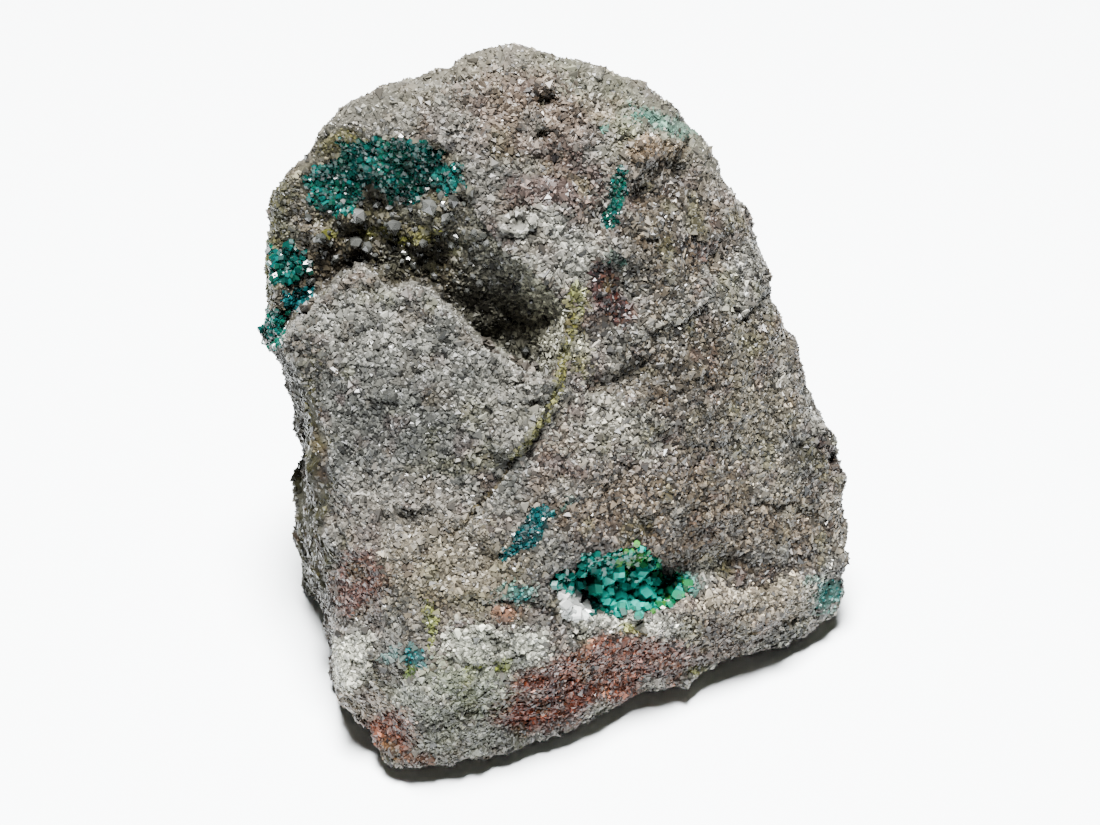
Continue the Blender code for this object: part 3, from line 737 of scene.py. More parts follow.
@dataclass(frozen=True)
class QuartzGrainFinish:
    """Broken sugary quartz: small vitreous faces that catch the light, tinted grain by grain."""

    name: str
    roughness: float
    shine: float

    def make(self) -> bpy.types.Material:
        """Builds the material: a mineral gloss, so that turned faces flash and the rest stay dull."""
        return start_material(self.name, {
            "Roughness": self.roughness, "IOR": QUARTZ_IOR, "Specular IOR Level": self.shine})


@dataclass(frozen=True)
class QuartzGroundFinish:
    """The rock between its grains: the same quartz, crushed finer, so it scatters with no shine."""

    name: str = "quartz_ground_broken"
    roughness: float = 0.75
    shine: float = 0.1
    grit_mm: float = 0.25
    grit_height_mm: float = 0.1

    def make(self) -> bpy.types.Material:
        """Builds the material, with a bump of the finest grit that keeps the gaps from looking smooth.

        Returns:
            The material.
        """
        material = start_material(self.name, {
            "Roughness": self.roughness, "IOR": QUARTZ_IOR, "Specular IOR Level": self.shine})
        tree = material.node_tree
        place = add_node(tree, "ShaderNodeTexCoord")
        grit = add_node(tree, "ShaderNodeTexVoronoi", {"Scale": 1.0 / (self.grit_mm * MM)},
                        {"Vector": place.outputs["Object"]})
        bump = add_node(tree, "ShaderNodeBump", {"Strength": 0.6, "Distance": self.grit_height_mm * MM},
                        {"Height": grit.outputs["Distance"]})
        tree.links.new(bump.outputs["Normal"], tree.nodes["Principled BSDF"].inputs["Normal"])
        return material


@dataclass(frozen=True)
class CrystalFinish:
    """A transparent crystal with natural faces: clear, glossy, coloured by each crystal's own tint."""

    name: str
    roughness: float
    ior: float
    transmission: float
    shine: float

    def make(self) -> bpy.types.Material:
        """Builds the material: a little light comes through, and the faces shine."""
        return start_material(self.name, {
            "Roughness": self.roughness, "IOR": self.ior, "Transmission Weight": self.transmission,
            "Specular IOR Level": self.shine})


@dataclass(frozen=True)
class PaperFinish:
    """The white card it stands on: matt and even, with a faint cool cast."""

    name: str = "white_card"
    colour: str = "eef2f3"
    roughness: float = 0.9
    shine: float = 0.1

    def make(self) -> bpy.types.Material:
        """Builds the material: no gloss, so that the card shows only the rock's shadow."""
        return start_material(self.name, {
            "Base Color": (*linear(self.colour), 1.0), "Roughness": self.roughness,
            "Specular IOR Level": self.shine}, tinted=False)


# ---- The rock ----


class Surface:
    """The dressed rock's triangles, ready to be sown with grains and crystals."""

    def __init__(self, mesh: bpy.types.Mesh) -> None:
        """Reads the triangles, their areas and the smooth normals.

        Args:
            mesh: the dressed rock.
        """
        mesh.calc_loop_triangles()
        corners = np.empty(3 * len(mesh.loop_triangles), np.int32)
        mesh.loop_triangles.foreach_get("vertices", corners)
        self.corners = corners.reshape(-1, 3)
        self.points = points_of(mesh)
        self.normals = normals_of(mesh)
        a, b, c = (self.points[self.corners[:, k]] for k in range(3))
        self.areas = np.linalg.norm(np.cross(b - a, c - a), axis=1) / 2.0
        self.middles = (a + b + c) / 3.0
        self.face_normals = self.normals[self.corners].mean(axis=1)

    def sow(self, weights: Array, count: int, generator: np.random.Generator) -> tuple[Array, Array]:
        """Spreads places evenly over the surface: steps along the running total of area.

        Args:
            weights: (t,) how thickly each triangle is sown.
            count: how many places.
            generator: source of the jitter.

        Returns:
            (n, 3) places and (n, 3) normals.
        """
        total = np.cumsum(self.areas * weights)
        steps = (np.arange(count) + generator.uniform(size=count)) / count * total[-1]
        chosen = self.corners[np.minimum(np.searchsorted(total, steps), len(total) - 1)]
        u, v = generator.uniform(size=(2, count))
        flip = u + v > 1.0
        u, v = np.where(flip, 1.0 - u, u), np.where(flip, 1.0 - v, v)
        share = np.stack([1.0 - u - v, u, v], axis=1)[..., None]
        places = (self.points[chosen] * share).sum(axis=1)
        normals = (self.normals[chosen] * share).sum(axis=1)
        return places, normals / np.linalg.norm(normals, axis=1)[:, None]


@dataclass
class QuartzRock:
    """The block of sugary quartz: its broken surface, and the grains that stand out of it."""

    voxel: float = 0.38
    gap_depth: float = 0.16
    grain: float = 0.445
    spread: float = 0.36
    smallest: float = 0.22
    largest: float = 1.0
    grain_count: int = 108000
    pieces: int = 6
    returned: float = 0.161
    lip: float = 1.8
    colour: RockColour = field(default_factory=RockColour)

    def surface(self) -> bpy.types.Object:
        """Builds the broken surface from the solid: even faces, softened, then roughened again.

        Returns:
            The surface's object.
        """
        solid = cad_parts["quartz_rock"]
        bm = bmesh.new()
        bm.from_mesh(solid.data)
        bmesh.ops.remove_doubles(bm, verts=bm.verts, dist=1e-6)
        mesh = bpy.data.meshes.new("rock_surface")
        bm.to_mesh(mesh)
        bm.free()
        obj = new_object("rock_surface", mesh)
        even = obj.modifiers.new("even", "REMESH")
        even.mode = "VOXEL"
        even.voxel_size = self.voxel * MM
        soft = obj.modifiers.new("soft", "SMOOTH")
        soft.factor = 0.5
        soft.iterations = 2
        graph = bpy.context.evaluated_depsgraph_get()
        obj.data = bpy.data.meshes.new_from_object(obj.evaluated_get(graph))
        obj.modifiers.clear()
        obj.data.name = "rock_surface"
        self.undercut(obj.data)
        self.raise_crown(obj.data)
        self.break_edges(obj.data)
        self.roughen(obj.data)
        points, normals = points_of(obj.data), normals_of(obj.data)
        grit = np.exp(0.45 * lumps(points, 0.5, 53) - 0.25)[:, None]
        paint(obj.data, self.returned * grit * self.colour.at(points, normals, np.zeros(len(points))))
        obj.data.materials.clear()
        obj.data.materials.append(QuartzGroundFinish().make())
        return obj

    def undercut(self, mesh: bpy.types.Mesh) -> None:
        """Lets the front of the foot overhang the floor: scaled out above the lip, and in below it.

        Args:
            mesh: the rock's surface.
        """
        points = points_of(mesh)
        x, y, z = points.T.copy()
        lip = self.lip + 0.4 * smoothstep(-10.0, 10.0, x) + 0.3 * lumps(points * (1.0, 1.0, 0.0), 6.0, 95)
        front = smoothstep(4.0, -8.0, y)
        below = 1.0 - smoothstep(0.3, 1.0, z / lip)
        corner = smoothstep(16.0, 24.0, x)
        out = 0.035 + 0.055 * smoothstep(-12.0, -2.0, x) - 0.04 * smoothstep(9.0, 13.0, x)
        points[:, :2] *= (1.0 - 0.13 * below * front * (1.0 - 0.7 * corner))[:, None]
        points[:, 0] += 0.9 * corner * front * (1.0 - smoothstep(4.0, 8.0, z))
        points[:, 1] *= 1.0 + out * front * (1.0 - smoothstep(1.0, 4.5, z / lip))
        self.move(mesh, points)

    def raise_crown(self, mesh: bpy.types.Mesh) -> None:
        """Fills the crown out: places near its line move outwards in the plane of the face.

        Args:
            mesh: the rock's surface.
        """
        points = points_of(mesh)
        face = SIGHT.seen(points)
        across, rise = np.array(CROWN_RISE).T
        near = np.exp(-((line_gap(face[:, :2], CROWN) / 3.5) ** 2))
        amount = np.interp(face[:, 0], across, rise) * near
        way = face[:, :2] - (0.0, 12.0)
        way /= np.maximum(np.linalg.norm(way, axis=1), 1.0)[:, None]
        self.move(mesh, points + amount[:, None] * (way[:, :1] * (1.0, 0.0, 0.0) + way[:, 1:] * SIGHT.up))

    def break_edges(self, mesh: bpy.types.Mesh) -> None:
        """Sharpens the broken edges along the line of sight: a rise on one side and a drop on the other.

        Args:
            mesh: the rock's surface.
        """
        points, normals = points_of(mesh), normals_of(mesh)
        face = SIGHT.seen(points)
        flat = ragged(face, 0.30, 0.9, 90)
        shown = smoothstep(0.0, 0.3, SIGHT.facing(points, normals))
        gap = line_gap(flat, PLATE_EDGE)
        ends = smoothstep(0.0, 0.7, line_gap(flat, BROW))
        drop = 1.6 * np.exp(-gap / 1.4) + smoothstep(-9.0, -4.0, flat[:, 0]) * np.exp(-gap / 3.0)
        lift = np.where(inside(flat, HOLLOW), -drop, 0.75 * np.exp(-gap / 0.8)) * ends
        for flake in FLAKES:
            rim = line_gap(flat, flake.outline + flake.outline[:1])
            lift += np.where(inside(flat, flake.outline), flake.rise * np.exp(-rim / 2.5), 0.0)
        for line, half_width, depth in ((HAIRLINE, 0.35, 0.35), (VEIN, 0.45, 0.30)):
            lift -= depth * (1.0 - smoothstep(0.0, half_width, line_gap(flat, line)))
        ray = SIGHT.eye - points
        ray /= np.linalg.norm(ray, axis=1)[:, None]
        self.move(mesh, points + ray * (lift * shown)[:, None])

    def roughen(self, mesh: bpy.types.Mesh) -> None:
        """Moves the surface along its normals by small lumps and chips, and in by the depth of the gaps.

        Args:
            mesh: the rock's surface.
        """
        points, normals = points_of(mesh), normals_of(mesh)
        height = 0.10 * lumps(points, 1.7, 51) + 0.05 * lumps(points, 0.8, 52)
        for size, cell, seed in ((0.10, 4.2, 40), (0.10, 2.3, 60), (0.07, 1.1, 80)):
            height += size * chips(points, cell, seed)
        foot = smoothstep(0.0, 1.2, points[:, 2])
        self.move(mesh, points + normals * ((height - self.gap_depth) * foot)[:, None])

    def move(self, mesh: bpy.types.Mesh, points: Array) -> None:
        """Puts the vertices at their new places, none of them below the floor.

        Args:
            mesh: the rock's surface.
            points: (n, 3) places in millimetres.
        """
        points[:, 2] = np.maximum(points[:, 2], 0.0)
        mesh.vertices.foreach_set("co", (points * MM).astype(np.float32).ravel())
        mesh.update()

    def thickness(self, surface: Surface) -> Array:
        """How thickly each triangle is sown: fewer on the back, the left side and the crown's edge.

        Args:
            surface: the rock's triangles.

        Returns:
            (t,) weights, and 0 where a crust stands.
        """
        face = SIGHT.seen(surface.middles)
        shown = SIGHT.facing(surface.middles, surface.face_normals) > ON_FACE
        share = smoothstep(0.15, 0.5, surface.middles[:, 2]) * np.where(shown, 1.5, 0.8)
        share *= np.where(inside(face[:, :2], LEFT_SIDE) & shown, 0.15, 1.0)
        share *= 1.0 - 0.5 * np.exp(-line_gap(face[:, :2], CROWN) / 1.2)
        share *= np.where(inside(face[:, :2], CLEAN_FLAKE.outline) & shown, 0.2, 1.0)
        flat = crust_places(face)
        for crust in CRUSTS:
            share[inside(flat, crust.outline) & shown] = 0.0
        return share

    def grains(self, surface: Surface) -> list[bpy.types.Object]:
        """Sows angular grains, each with a flat face outwards, and none where a crust stands.

        Args:
            surface: the rock's triangles.

        Returns:
            The pieces that hold the grains.
        """
        generator = np.random.default_rng(11)
        count = self.grain_count
        places, normals = surface.sow(self.thickness(surface), count, generator)
        face = SIGHT.seen(places)[:, :2]
        sizes = self.grain * np.where(SIGHT.facing(places, normals) > ON_FACE, 0.88, 1.15)
        sizes = sizes * np.exp(self.spread * generator.normal(size=count))
        sizes = np.clip(sizes, self.smallest, self.largest)
        roll = generator.uniform(-1.0, 1.0, count)
        right, top = smoothstep(-6.0, 3.0, face[:, 0]), smoothstep(18.0, 25.0, face[:, 1])
        unlike = 0.44 + 0.3 * right * (1.0 - 0.8 * top)
        colours = self.shade(self.colour.at(places, normals, roll), unlike, generator)
        height = generator.uniform(-0.13, -0.01, count) + self.gap_depth - 0.32 * sizes
        height -= 0.10 * np.exp(-line_gap(face, CROWN) / 1.5)
        centres = places + normals * height[:, None]
        centres[:, 2] = np.maximum(centres[:, 2], 0.62 * sizes)
        shapes, sides = shard_arrays(count, generator)
        turned = shapes @ standing_turns(normals, 0.33, generator).transpose(0, 2, 1)
        shards = centres[:, None, :] + turned * sizes[:, None, None]
        dull = QuartzGrainFinish("sugary_quartz_broken", 0.45, 0.15).make()
        glassy = QuartzGrainFinish("glassy_quartz_broken", 0.34, 0.3).make()
        made = []
        for k, share in enumerate(np.array_split(generator.permutation(count), self.pieces)):
            points, triangles = many(shards[share], sides)
            finish = glassy if k == 0 else dull
            made.append(make_piece(f"quartz_grains_{k + 1}", points, triangles, finish, colours[share]))
        return made

    def shade(self, colours: Array, unlike: Array, generator: np.random.Generator) -> Array:
        """Gives each grain its own shade: most near the ground colour, some milky, some clear and dark.

        Args:
            colours: (n, 3) linear colours of the rock at each grain.
            unlike: (n,) how much neighbours differ, as the spread of the logarithm of their shades.
            generator: source of the shades.

        Returns:
            (n, 3) linear colours.
        """
        count = len(colours)
        kind = generator.uniform(size=count)
        shade = np.exp(unlike * generator.normal(size=count))
        shade = np.where(kind > 0.85, 0.32 * shade, shade)
        result = colours * shade[:, None]
        milky = kind < 0.07
        result[milky] = 1.6 * colours[milky] + 0.2 * linear("d9d8d2")
        return np.clip(self.returned * result, 0.002, 0.9)

    def build(self) -> Surface:
        """Builds the surface and its grains.

        Returns:
            The dressed rock's triangles.
        """
        rock = self.surface()
        surface = Surface(rock.data)
        for piece in [rock, *self.grains(surface)]:
            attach(piece, "root")
            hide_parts("quartz_rock")
            log.info("%s: %d triangles", piece.name, len(piece.data.polygons))
        return surface


# ---- Crystals ----


class Crystal(Enum):
    """The kinds of crystal, by the record's material slot."""

    DIOPTASE = "dioptase"
    QUARTZ = "pale_quartz"


class Tints(Enum):
    """The colours that a crust's crystals are picked from."""

    DEEP = ("054b43", "075c57", "0a6a62", "04423a", "075544")
    BLUISH = ("0d5f62", "0a5454", "147074", "083f40")
    MINT = ("4f9a92", "3f8a84", "7ab8ae", "2f7a78")
    TEAL = ("02786c", "049484", "03665a", "1cae9e", "02806c", "2fb8a8")
    EMERALD = ("0a5f3c", "1f7242", "0b6e50", "3f7a34", "0a8478")
    MILKY = ("d8dad6", "c6cac6")
    CLEAR = ("a7a9a2", "8d9088", "bcbeb8")

    def colours(self) -> Array:
        """The linear colours, one row each."""
        return np.array([linear(code) for code in self.value])


def prism_arrays(radius: Array, length: Array, steepness: float) -> tuple[Array, Array]:
    """Six-sided prisms under three-faced tips: a corner stands at the length less its fall from the tip.

    Args:
        radius: (n,) radii in millimetres.
        length: (n,) lengths in millimetres.
        steepness: how fast the tip's three faces fall from the point.

    Returns:
        (n, 13, 3) points with the root at the origin, and (22, 3) triangles of one crystal.
    """
    turn = np.arange(6) * math.pi / 3.0
    ring = radius[:, None, None] * np.stack([np.cos(turn), np.sin(turn)], axis=1)
    ways = np.arange(3) * 2.0 * math.pi / 3.0
    fall = (ring @ np.stack([np.cos(ways), np.sin(ways)])).max(axis=2)
    root = np.concatenate([ring, np.zeros((len(radius), 6, 1))], axis=2)
    shoulder = np.concatenate([ring, (length[:, None] - steepness * fall)[..., None]], axis=2)
    tip = np.stack([0.0 * length, 0.0 * length, length], axis=1)[:, None]
    sides = [t for i in range(6) for t in ((i, (i + 1) % 6, 6 + (i + 1) % 6), (i, 6 + (i + 1) % 6, 6 + i))]
    top = [t for i in (0, 2, 4) for t in ((12, 6 + (i - 1) % 6, 6 + i), (12, 6 + i, 6 + (i + 1) % 6))]
    bottom = [(5, 4, 3), (5, 3, 2), (5, 2, 1), (5, 1, 0)]
    return np.concatenate([root, shoulder, tip], axis=1), np.array(sides + top + bottom)


@dataclass
class CrystalCrust:
    """A crust of small crystals that stand on the rock inside an outline on the face."""

    name: str
    node: str
    outline: Places
    tints: Tints
    kind: Crystal = Crystal.DIOPTASE
    per_mm2: float = 22.0
    radius: tuple[float, float] = (0.14, 0.42)
    slender: tuple[float, float] = (1.6, 2.8)
    lean: float = 0.6
    proud: float = 0.5
    film: float = 0.85
    returned: float = 0.26
    seed: int = 1

    def build(self, surface: Surface, finish: bpy.types.Material) -> bpy.types.Object:
        """Sows the crystals and stands each one on the rock.

        Args:
            surface: the rock's triangles.
            finish: the crystals' material.

        Returns:
            The crust's object.
        """
        generator = np.random.default_rng(self.seed)
        face = SIGHT.seen(surface.middles)
        shown = SIGHT.facing(surface.middles, surface.face_normals) > ON_FACE
        within = inside(crust_places(face), self.outline) & shown
        area = surface.areas[within].sum()
        count = max(8, int(area * self.per_mm2))
        places, normals = surface.sow(within.astype(float), count, generator)
        low, high = self.radius
        radius = low * (high / low) ** generator.uniform(size=count) ** 2.0
        length = radius * generator.uniform(*self.slender, count)
        shapes, sides = prism_arrays(radius, length, 0.8)
        turns = standing_turns(normals, self.lean, generator)
        roots = places - normals * (length * (1.0 - self.proud))[:, None]
        points, triangles = many(shapes @ turns.transpose(0, 2, 1) + roots[:, None], sides)
        palette = self.tints.colours()
        patch = 0.5 + 0.5 * lumps(places, 1.6, 300 + self.seed) + 0.35 * generator.normal(size=count)
        colours = palette[np.clip((patch * len(palette)).astype(int), 0, len(palette) - 1)]
        colours = self.returned * colours * np.exp(0.28 * generator.normal(size=(count, 1)))
        obj = make_piece(self.name, points, triangles, finish, np.clip(colours, 0.0, 0.95))
        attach(obj, "root")
        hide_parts(self.node)
        log.info("%s: %d crystals on %.1f square millimetres", self.name, count, area)
        return obj


CRUSTS: tuple[CrystalCrust, ...] = (
    CrystalCrust(
        "dioptase_upper_druse_crystals", "dioptase_upper_druse", (
            (-22.2, 21.2), (-19.5, 22.6), (-18.8, 24.2), (-14.5, 24.6), (-10.6, 23.8), (-8.2, 22.2),
            (-8.0, 20.2), (-11.2, 19.6), (-13.2, 18.2), (-14.4, 19.4), (-16.6, 20.4), (-17.6, 18.0),
            (-19.2, 17.4), (-21.6, 19.0),
        ), Tints.DEEP, per_mm2=26.0, radius=(0.13, 0.36), returned=0.25, seed=1),
    CrystalCrust(
        "dioptase_left_druse_crystals", "dioptase_left_druse", (
            (-25.3, 14.8), (-22.2, 14.8), (-21.6, 12.2), (-25.0, 11.6),
        ), Tints.DEEP, returned=0.2, seed=2),
    CrystalCrust(
        "dioptase_left_seam_crystals", "dioptase_left_seam", (
            (-23.8, 11.0), (-21.2, 11.1), (-21.6, 9.2), (-23.8, 8.8),
        ), Tints.BLUISH, radius=(0.13, 0.32), returned=0.2, seed=3),
    CrystalCrust(
        "dioptase_left_rim_crystals", "dioptase_left_rim", (
            (-25.9, 9.1), (-24.0, 8.8), (-24.1, 6.2), (-25.9, 6.0),
        ), Tints.DEEP, radius=(0.13, 0.32), returned=0.2, seed=4),
    CrystalCrust(
        "dioptase_vein_crystals", "dioptase_vein", (
            (5.8, 22.1), (6.8, 22.0), (6.7, 19.4), (6.3, 16.6), (4.5, 16.5), (5.2, 19.0),
        ), Tints.DEEP, radius=(0.12, 0.28), returned=0.18, seed=5),
    CrystalCrust(
        "dioptase_streak_crystals", "dioptase_streak", (
            (-4.9, -12.4), (-4.0, -13.4), (-1.3, -11.9), (0.7, -9.0), (-0.4, -7.9), (-1.9, -9.2),
            (-3.3, -11.2),
        ), Tints.BLUISH, radius=(0.12, 0.28), returned=0.2, seed=6),
    CrystalCrust(
        "dioptase_spot_crystals", "dioptase_spot", (
            (-3.5, -15.6), (-1.7, -15.4), (-2.0, -17.2), (-3.3, -16.8),
        ), Tints.MINT, per_mm2=9.0, radius=(0.12, 0.26), film=0.4, returned=0.24, seed=7),
    CrystalCrust(
        "dioptase_toe_patch_crystals", "dioptase_toe_patch", (
            (-13.6, -21.4), (-11.2, -21.2), (-11.4, -23.0), (-13.2, -23.0),
        ), Tints.BLUISH, per_mm2=9.0, radius=(0.12, 0.26), film=0.5, returned=0.36, seed=8),
    CrystalCrust(
        "dioptase_corner_patch_crystals", "dioptase_corner_patch", (
            (23.8, -15.2), (26.0, -15.0), (26.2, -16.8), (24.2, -17.4),
        ), Tints.MINT, per_mm2=6.0, radius=(0.12, 0.28), film=0.3, returned=0.24, seed=9),
    CrystalCrust(
        "dioptase_pocket_left", "dioptase_pocket", (
            (0.3, -14.8), (1.0, -14.1), (2.3, -14.7), (2.5, -13.4), (3.3, -12.5), (5.6, -12.6),
            (6.4, -14.8), (5.2, -16.0), (3.4, -15.8), (2.0, -16.4), (0.6, -16.6),
        ), Tints.TEAL, per_mm2=10.0, radius=(0.16, 0.50), slender=(2.0, 3.0), proud=0.7, returned=0.3,
           seed=10),
    CrystalCrust(
        "dioptase_pocket_right", "dioptase_pocket", (
            (5.6, -12.3), (9.1, -12.6), (10.0, -14.0), (11.6, -14.2), (12.7, -15.4), (11.8, -17.0),
            (9.4, -17.7), (8.2, -16.4), (7.4, -15.0), (6.2, -14.8),
        ), Tints.EMERALD, per_mm2=10.0, radius=(0.16, 0.50), slender=(2.0, 3.0), proud=0.7, returned=0.4,
           seed=11),
    # painted light: the crystals deep in the pocket return much more than those on its lip, to offset the
    # pocket's shade
    CrystalCrust(
        "dioptase_pocket_large", "dioptase_pocket", (
            (3.4, -14.4), (6.4, -14.2), (9.4, -14.8), (9.7, -16.0), (7.0, -16.2), (4.2, -16.4),
            (2.8, -15.6),
        ), Tints.TEAL, per_mm2=3.2, radius=(0.36, 0.74), slender=(1.8, 2.6), proud=1.0, returned=0.8,
           seed=12),
    CrystalCrust(
        "dioptase_pocket_lip", "dioptase_pocket", (
            (4.2, -16.4), (7.0, -16.2), (9.7, -16.0), (9.6, -17.0), (7.8, -18.0), (5.6, -18.2),
        ), Tints.TEAL, per_mm2=4.0, radius=(0.30, 0.66), slender=(1.8, 2.6), proud=1.0, returned=0.48,
           seed=14),
    CrystalCrust(
        "dioptase_pocket_floor", "dioptase_pocket", (
            (2.2, -15.6), (3.6, -15.6), (5.2, -16.6), (5.4, -18.0), (4.4, -18.3), (3.2, -17.0),
        ), Tints.DEEP, per_mm2=10.0, radius=(0.14, 0.35), seed=13),
    CrystalCrust(
        "pale_lump_crystals", "pale_quartz_lump", (
            (0.9, -16.5), (2.2, -16.5), (3.5, -17.4), (3.4, -18.5), (2.0, -18.6), (1.0, -17.8),
        ), Tints.MILKY, Crystal.QUARTZ, 5.0, (0.4, 0.85), (1.3, 1.9), returned=0.58, seed=21),
)


@dataclass(frozen=True)
class ClearGrains:
    """Large glassy grains of quartz on the hollow's wall: rounded, clear lumps that broke out whole.

    Each place is (across, up, radius), and small ones are sown between them.
    """

    places: tuple[tuple[float, float, float], ...] = (
        (-17.4, 17.6, 0.80), (-14.0, 16.9, 0.85), (-17.5, 15.4, 0.62), (-16.2, 14.8, 0.60),
        (-10.6, 18.4, 0.85), (-9.4, 17.4, 0.62), (-9.6, 19.4, 0.60), (-8.6, 18.9, 0.62),
        (-12.4, 18.3, 0.50), (-20.6, 15.8, 0.50), (-21.7, 17.5, 0.42), (-6.8, 16.3, 0.40),
        (-11.4, 15.2, 0.50), (-6.4, 11.7, 0.50), (-2.9, 11.2, 0.50), (-2.1, 5.4, 0.55),
        (-5.8, 15.9, 0.38), (-19.2, 13.8, 0.45), (-13.0, 19.2, 0.45), (-15.4, 18.8, 0.50),
        (-21.4, 11.9, 0.55), (-8.3, 15.8, 0.40), (-18.6, 18.9, 0.35), (-12.2, 13.2, 0.40),
    )
    tints: Tints = Tints.CLEAR
    outline: Places = (
        (-22.4, 18.0), (-17.6, 20.0), (-12.0, 19.0), (-8.0, 20.4), (-6.2, 17.4), (-1.0, 11.4),
        (-3.0, 6.0), (-9.0, 11.6), (-14.0, 12.4), (-20.0, 13.0),
    )
    small: int = 110
    returned: float = 0.11
    seed: int = 22

    def build(self, surface: Surface, finish: bpy.types.Material) -> bpy.types.Object:
        """Sets a faceted ball, pulled out of round, half into the rock at each place.

        Args:
            surface: the rock's triangles.
            finish: the grains' material.

        Returns:
            The grains' object.
        """
        generator = np.random.default_rng(self.seed)
        face = SIGHT.seen(surface.middles)
        shown = SIGHT.facing(surface.middles, surface.face_normals) > 0.0
        large = np.array(self.places)
        gap = np.linalg.norm(face[None, :, :2] - large[:, None, :2], axis=2) + 9.0 * ~shown
        nearest = gap.argmin(axis=1)
        within = inside(face[:, :2], self.outline) & shown
        places, normals = surface.sow(within.astype(float), self.small, generator)
        radius = np.concatenate([large[:, 2], generator.uniform(0.2, 0.38, self.small)])
        places = np.concatenate([surface.middles[nearest], places])
        normals = np.concatenate([surface.face_normals[nearest], normals])
        ball, sides = self.ball()
        count = len(radius)
        shapes = ball * generator.uniform(0.82, 1.15, (count, len(ball), 1))
        shapes = shapes * generator.uniform(0.75, 1.1, (count, 1, 3))
        turned = shapes @ standing_turns(normals, 1.0, generator).transpose(0, 2, 1)
        centres = places + 0.25 * normals * radius[:, None]
        points, triangles = many(turned * radius[:, None, None] + centres[:, None], sides)
        palette = self.tints.colours()
        colours = palette[generator.integers(0, len(palette), count)] * self.returned
        colours *= np.exp(0.35 * generator.normal(size=(count, 1)))
        obj = make_piece("clear_quartz_in_hollow", points, triangles, finish, colours)
        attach(obj, "root")
        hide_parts("quartz_rock")
        log.info("clear_quartz_in_hollow: %d grains", count)
        return obj

    def ball(self) -> tuple[Array, Array]:
        """Builds a faceted ball about one unit in radius.

        Returns:
            (n, 3) points and (m, 3) triangles.
        """
        bm = bmesh.new()
        bmesh.ops.create_icosphere(bm, subdivisions=1, radius=1.05)
        points = np.array([vert.co for vert in bm.verts])
        bm.verts.index_update()
        sides = np.array([[vert.index for vert in side.verts] for side in bm.faces])
        bm.free()
        return points, sides


@dataclass
class Crystals:
    """All the crusts of dioptase, the pale lump on the pocket's lip and the clear quartz grains."""

    dioptase: CrystalFinish = CrystalFinish("dioptase_druse", 0.25, DIOPTASE_IOR, 0.10, 0.12)
    quartz: CrystalFinish = CrystalFinish("rock_crystal_grains", 0.2, QUARTZ_IOR, 0.40, 0.3)

    def build(self, surface: Surface) -> None:
        """Builds every crust.

        Args:
            surface: the rock's triangles.
        """
        finishes = {Crystal.DIOPTASE: self.dioptase.make(), Crystal.QUARTZ: self.quartz.make()}
        for crust in CRUSTS:
            crust.build(surface, finishes[crust.kind])
        ClearGrains().build(surface, finishes[Crystal.QUARTZ])


# ---- Studio ----


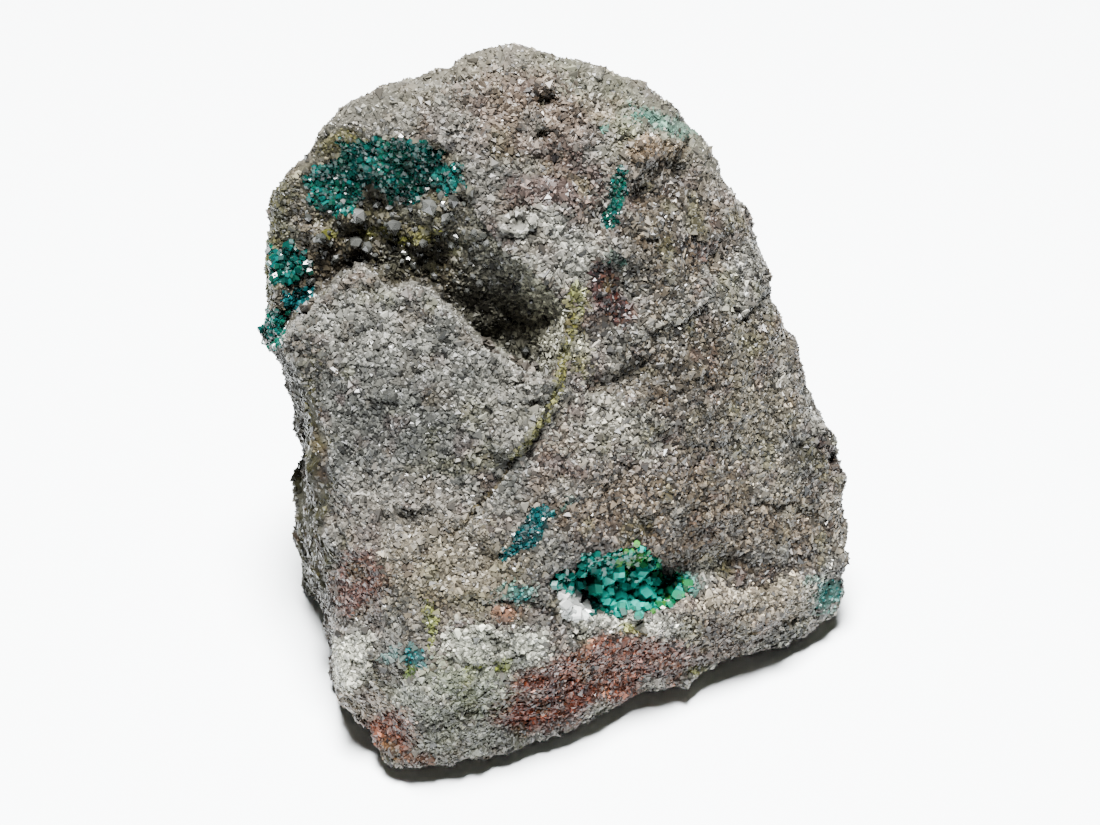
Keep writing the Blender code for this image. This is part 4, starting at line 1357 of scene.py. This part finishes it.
@dataclass
class Studio:
    """The white card, the soft light overhead and the camera."""

    frame_width_px: float = 1100.0
    focal_px: float = 2453.0
    sensor_mm: float = 36.0
    card_mm: float = 1500.0  # from the middle to each side
    lamp_mm: tuple[float, float, float] = (-9.0, 7.0, 400.0)
    lamp_size_mm: float = 110.0
    lamp_degrees: float = 15.7  # how wide the lamp looks from the rock
    lamp_watts: float = 17.0
    far_strength: float = 5.2
    grey: str = "f4f6f8"
    room_strength: float = 0.009
    wall_strength: float = 1.6

    def build(self) -> None:
        """Builds the floor, the lights and the camera."""
        self.floor()
        self.soft_light()
        self.far_light()
        self.sky()
        self.camera()

    def floor(self) -> None:
        """Lays the card under the rock."""
        corners = self.card_mm * np.array([(-1, -1, 0), (1, -1, 0), (1, 1, 0), (-1, 1, 0)], float)
        card = make_piece("white_card", corners, np.array([(0, 1, 2), (0, 2, 3)]), PaperFinish().make())

    def soft_light(self) -> None:
        """Hangs a square soft light that shines at the middle of the rock."""
        lamp = bpy.data.lights.new("overhead", "AREA")
        lamp.energy = self.lamp_watts
        lamp.size = self.lamp_size_mm * MM
        obj = new_object("overhead", lamp)
        obj.location = Vector(self.lamp_mm) * MM
        way = Vector((0.0, 0.0, SIGHT.centre[2])) * MM - obj.location
        obj.rotation_euler = way.to_track_quat("-Z", "Y").to_euler()

    def far_light(self) -> None:
        """Shines evenly from the lamp's side and as wide, so that the card stays pale far away."""
        lamp = bpy.data.lights.new("ceiling", "SUN")
        lamp.energy = self.far_strength
        lamp.angle = math.radians(self.lamp_degrees)
        obj = new_object("ceiling", lamp)
        obj.rotation_euler = (-Vector(self.lamp_mm)).to_track_quat("-Z", "Y").to_euler()

    def sky(self) -> None:
        """Lights the room with a faint even grey, and stands a pale wall behind the card."""
        world = bpy.data.worlds.new("room")
        bpy.context.scene.world = world
        world.use_nodes = True
        tree = world.node_tree
        grey = (*linear(self.grey), 1.0)
        room = add_node(tree, "ShaderNodeBackground", {"Color": grey, "Strength": self.room_strength})
        wall = add_node(tree, "ShaderNodeBackground", {"Color": grey, "Strength": self.wall_strength})
        path = add_node(tree, "ShaderNodeLightPath")
        both = add_node(tree, "ShaderNodeMixShader", None,
                        {"Fac": path.outputs["Is Camera Ray"], 1: room.outputs[0], 2: wall.outputs[0]})
        tree.links.new(both.outputs[0], tree.nodes["World Output"].inputs["Surface"])
        tree.nodes.remove(tree.nodes["Background"])

    def camera(self) -> None:
        """Stands the camera at the eye, looking along the line of sight."""
        data = bpy.data.cameras.new("camera")
        data.sensor_width = self.sensor_mm
        data.lens = self.focal_px / self.frame_width_px * self.sensor_mm
        data.clip_start = 0.01
        obj = new_object("camera", data)
        turn = Matrix(np.stack([np.array([1.0, 0.0, 0.0]), SIGHT.up, SIGHT.out], axis=1).tolist()).to_4x4()
        obj.matrix_world = Matrix.Translation(Vector(SIGHT.eye * MM)) @ turn
        bpy.context.scene.camera = obj


def main() -> None:
    """Builds the rock, the crystals and the studio, and notes the sizes."""
    logging.basicConfig(level=logging.INFO, format="%(name)s %(message)s")
    surface = QuartzRock().build()
    Crystals().build(surface)
    Studio().build()


if __name__ == "__main__":
    main()
